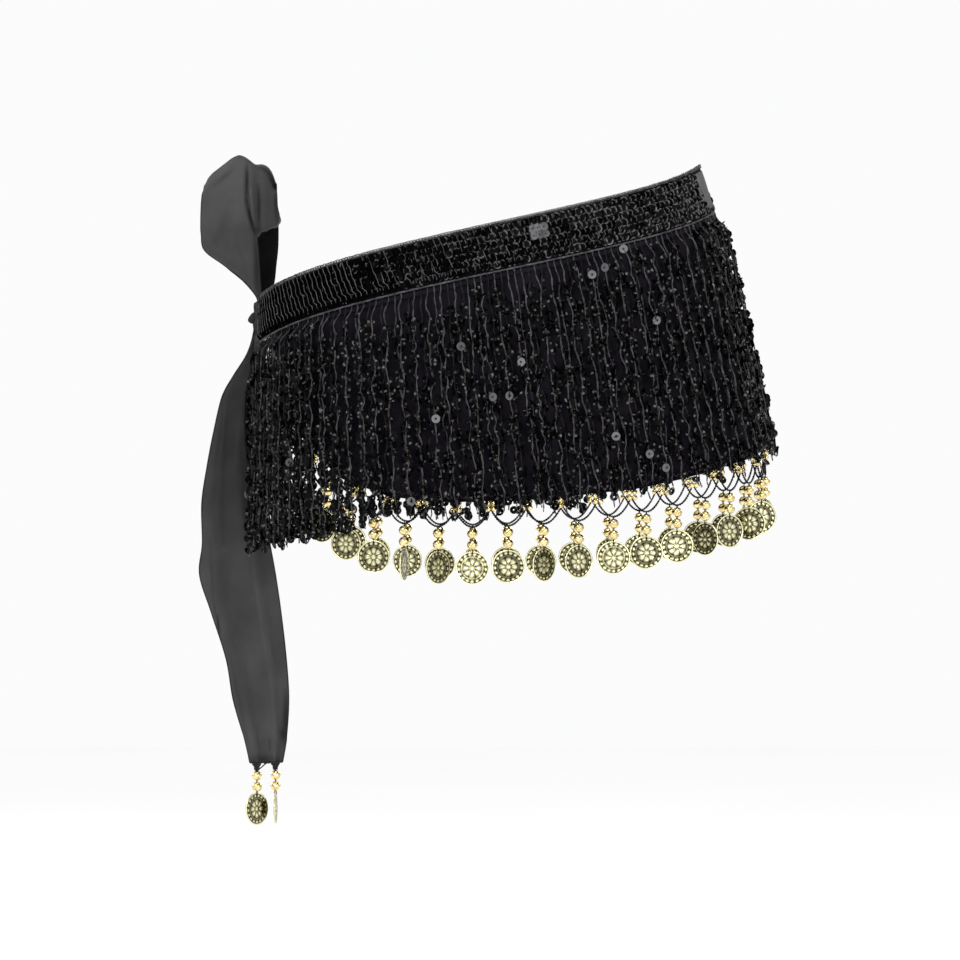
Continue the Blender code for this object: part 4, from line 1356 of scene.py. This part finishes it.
lip_hem = add_piece("loop_lip_hem", tube_mesh([lip_path], LIP_HEM_SHARE * TIE_HEM_RADIUS), hem_chiffon)


# Tie ends
# Two tapered tails of the same chiffon, folded lengthwise, hang from the knot. Their hems are rolled like the
# panel's, and the lower hem is drawn out to each drop in a short crumpled tip.
TAIL_ROWS = table("z left_x left_y right_x right_y", [
    (-0.0669, -0.1578, -0.0040, -0.1515, 0.0035),
    (-0.0770, -0.1600, -0.0010, -0.1550, 0.0110),
    (-0.0875, -0.1642, 0.0005, -0.1580, 0.0200),
    (-0.1010, -0.1728, 0.0000, -0.1605, 0.0275),
    (-0.1155, -0.1805, 0.0000, -0.1620, 0.0350),
    (-0.1405, -0.1865, 0.0000, -0.1600, 0.0450),
    (-0.1650, -0.1912, 0.0010, -0.1560, 0.0530),
    (-0.1900, -0.1948, 0.0020, -0.1535, 0.0575),
    (-0.2180, -0.1945, 0.0040, -0.1490, 0.0600),
    (-0.2400, -0.1965, 0.0060, -0.1450, 0.0580),
    (-0.2660, -0.1885, 0.0080, -0.1410, 0.0520),
    (-0.2990, -0.1780, 0.0090, -0.1370, 0.0450),
    (-0.3280, -0.1730, 0.0100, -0.1350, 0.0390),
    (-0.3560, -0.1650, 0.0110, -0.1365, 0.0320),
    (-0.3720, -0.1615, 0.0120, -0.1390, 0.0280),
])
TAIL_FOLDS = 2.0
TAIL_FOLD_HEIGHT = 0.0025
REAR_TAIL_TOP = dict(z=-0.0632, left_x=-0.1588, left_y=0.0030, right_x=-0.1540, right_y=0.0080)
REAR_TAIL_END = -0.250
# At each fall below the origin: share of the front end's width, distance behind it, and shift along it
REAR_TAIL_ROWS = table("fall width behind along", [
    (0.077, 0.50, 0.0045, 0.0110),
    (0.101, 0.60, 0.0062, 0.0115),
    (0.140, 0.70, 0.0075, 0.0100),
    (0.190, 0.76, 0.0085, 0.0085),
    (0.300, 0.80, 0.0105, 0.0090),
])
TAIL_CREASES = table("start end height width", [
    ((243, 372), (233, 470), 0.0012, 0.0030),
    ((226, 400), (222, 520), -0.0010, 0.0030),
    ((238, 500), (268, 700), 0.0012, 0.0028),
    ((214, 560), (246, 690), -0.0010, 0.0026),
    ((250, 560), (278, 730), -0.0008, 0.0022),
    ((206, 540), (232, 556), 0.0008, 0.0022),
    ((244, 735), (284, 742), 0.0006, 0.0020),
    ((268, 738), (269, 753), -0.0008, 0.0010),
])
TAIL_SHADES = table("start end height width", [
    ((285, 694), (284, 745), 0.80, 0.0026),
    ((280, 732), (281, 740), 0.50, 0.0022),
    ((248, 759), (280, 761), 0.55, 0.0024),
    ((268, 738), (269, 753), 0.35, 0.0008),
    ((217, 615), (219, 636), 0.80, 0.0007),
    ((229, 655), (249, 752), 0.30, 0.0014),
    ((258, 575), (266, 588), 0.16, 0.0035),
    ((209, 540), (212, 597), 0.30, 0.0008),
    ((212, 597), (218, 632), 0.35, 0.0008),
    ((225, 380), (214, 470), 0.22, 0.0008),
])
LOWER_HEM_RADIUS = 0.0008
LOWER_HEM_KINKS = 0.00035
STUB_OFFSETS = (-0.0036, -0.0018, 0.0, 0.0018, 0.0034)
STUB_RADIUS = 0.00075
STUB_KINKS = 0.00035
FAR_STRIP_OFFSET = 0.0095
FAR_STRIP_RADIUS = 0.0005
STUB_TOP = 0.00105
STUB_SHARES = (0.0, 0.3, 0.6, 0.85, 1.0)
STUB_TOP_UP = 0.0002
STUB_NARROWING = 0.25
STUB_SIDES = 6
FAR_STRIP_NARROWING = 0.55
FAR_STRIP_END = 0.0006
TAIL_GRID = (72, 140)
BEAD_TOP_BELOW = 0.0012
TAIL_HEM_STEPS = 130
LOWER_HEM_STEPS = 40


def tail_point(row, across, down, height):
    """A point on a tie end, folded lengthwise between its two edges."""
    left = Vector((row["left_x"], row["left_y"], row["z"]))
    right = Vector((row["right_x"], row["right_y"], row["z"]))
    normal = (right - left).normalized().cross(UP)
    wave = math.sin(2 * math.pi * TAIL_FOLDS * across) * min(1.0, 3 * down)
    return left.lerp(right, across) + (TAIL_FOLD_HEIGHT * wave + height) * normal


def rear_tail_rows():
    """The rear tie end follows the front one, further out behind it, narrower and shorter."""
    rows = [REAR_TAIL_TOP]
    for row in [row for row in TAIL_ROWS[1:] if row["z"] > REAR_TAIL_END]:
        width, behind, along = (between(REAR_TAIL_ROWS, key, -row["z"], "fall")
                                for key in ("width", "behind", "along"))
        left = Vector((row["left_x"], row["left_y"]))
        right = Vector((row["right_x"], row["right_y"]))
        ahead = (right - left).normalized()
        middle = (left + right) / 2 + along * ahead + behind * Vector((-ahead.y, ahead.x))
        half = (right - left) / 2 * width
        inner, outer = middle - half, middle + half
        rows.append(dict(z=row["z"], left_x=inner.x, left_y=inner.y, right_x=outer.x, right_y=outer.y))
    return rows


tie_drop = drop_shape(TIE_DROP_EXTRA)
# Each end's flat size, the shares across it where its drops hang, and the way that their coins face
TIE_ENDS = table("name rows flat places facings", [
    ("front_tie", TAIL_ROWS, (0.052, 0.31), (0.16, 0.84), (50, 86)),
    ("rear_tie", rear_tail_rows(), (0.038, 0.18), (0.40, 0.86), (44, 44)),
])
for tie in TIE_ENDS:
    name = tie["name"]
    rows = tie["rows"]

    def tie_place(across, down, rows=rows):
        row = smooth_row(rows, down)
        height = creased(TAIL_CREASES, tail_point(row, across, down, 0.0)) * min(1.0, 4 * down)
        return tail_point(row, across, down, height)

    tail = add_piece(name + "_cloth", cloth_mesh(*TAIL_GRID, tie_place, tie["flat"]), tie_chiffon,
                     stands_for=(name + "_end",))
    paint_fold_shade(tail.data, TAIL_SHADES)
    thicken(tail, TIE_THICKNESS, 0)
    edges = [[tie_place(across, step / TAIL_HEM_STEPS) for step in range(TAIL_HEM_STEPS + 1)]
             for across in (0.0, 1.0)]
    lower_edge = [tie_place(step / LOWER_HEM_STEPS, 1.0) for step in range(LOWER_HEM_STEPS + 1)]
    lower_mesh = tube_mesh([crinkled(lower_edge, LOWER_HEM_KINKS, 5)], LOWER_HEM_RADIUS)
    hem = add_piece(name + "_hem", tube_mesh(edges, TIE_HEM_RADIUS), knot_cloth)
    lower_hem = add_piece(name + "_lower_hem", lower_mesh, knot_cloth)
    left_corner, right_corner = (tail_point(rows[-1], across, 1.0, 0.0) for across in (0.0, 1.0))
    along = (right_corner - left_corner).normalized()
    for label, share, facing in zip(("left", "right"), tie["places"], tie["facings"]):
        drop_name = f"{name}_drop_{label}"
        hinge = tail_point(rows[-1], share, 1.0, 0.0) + Vector((0.0, 0.0, STUB_TOP - GAP))
        place_drop(drop_name, tie_drop, hinge, facing)
        bead_top = hinge + Vector((0.0, 0.0, -TIE_DROP_EXTRA - BEAD_TOP_BELOW))
        stub = []
        for offset in STUB_OFFSETS:
            top = hinge + offset * along + STUB_TOP_UP * UP
            low = bead_top + STUB_NARROWING * offset * along
            fold = [top.lerp(low, share) for share in STUB_SHARES]
            stub.append(crinkled(fold, STUB_KINKS, round(offset * 1e5)))
        add_piece(drop_name + "_stub", tube_mesh(stub, STUB_RADIUS, STUB_SIDES), knot_cloth,
                  body=drop_name + "_body")
        if label == "left":
            strip = [hinge + FAR_STRIP_OFFSET * along,
                     hinge.lerp(bead_top, 0.5) + FAR_STRIP_NARROWING * FAR_STRIP_OFFSET * along,
                     bead_top + FAR_STRIP_END * along]
            add_piece(f"{name}_drop_strip", tube_mesh([strip], FAR_STRIP_RADIUS, STUB_SIDES), knot_cloth,
                      body=drop_name + "_body")
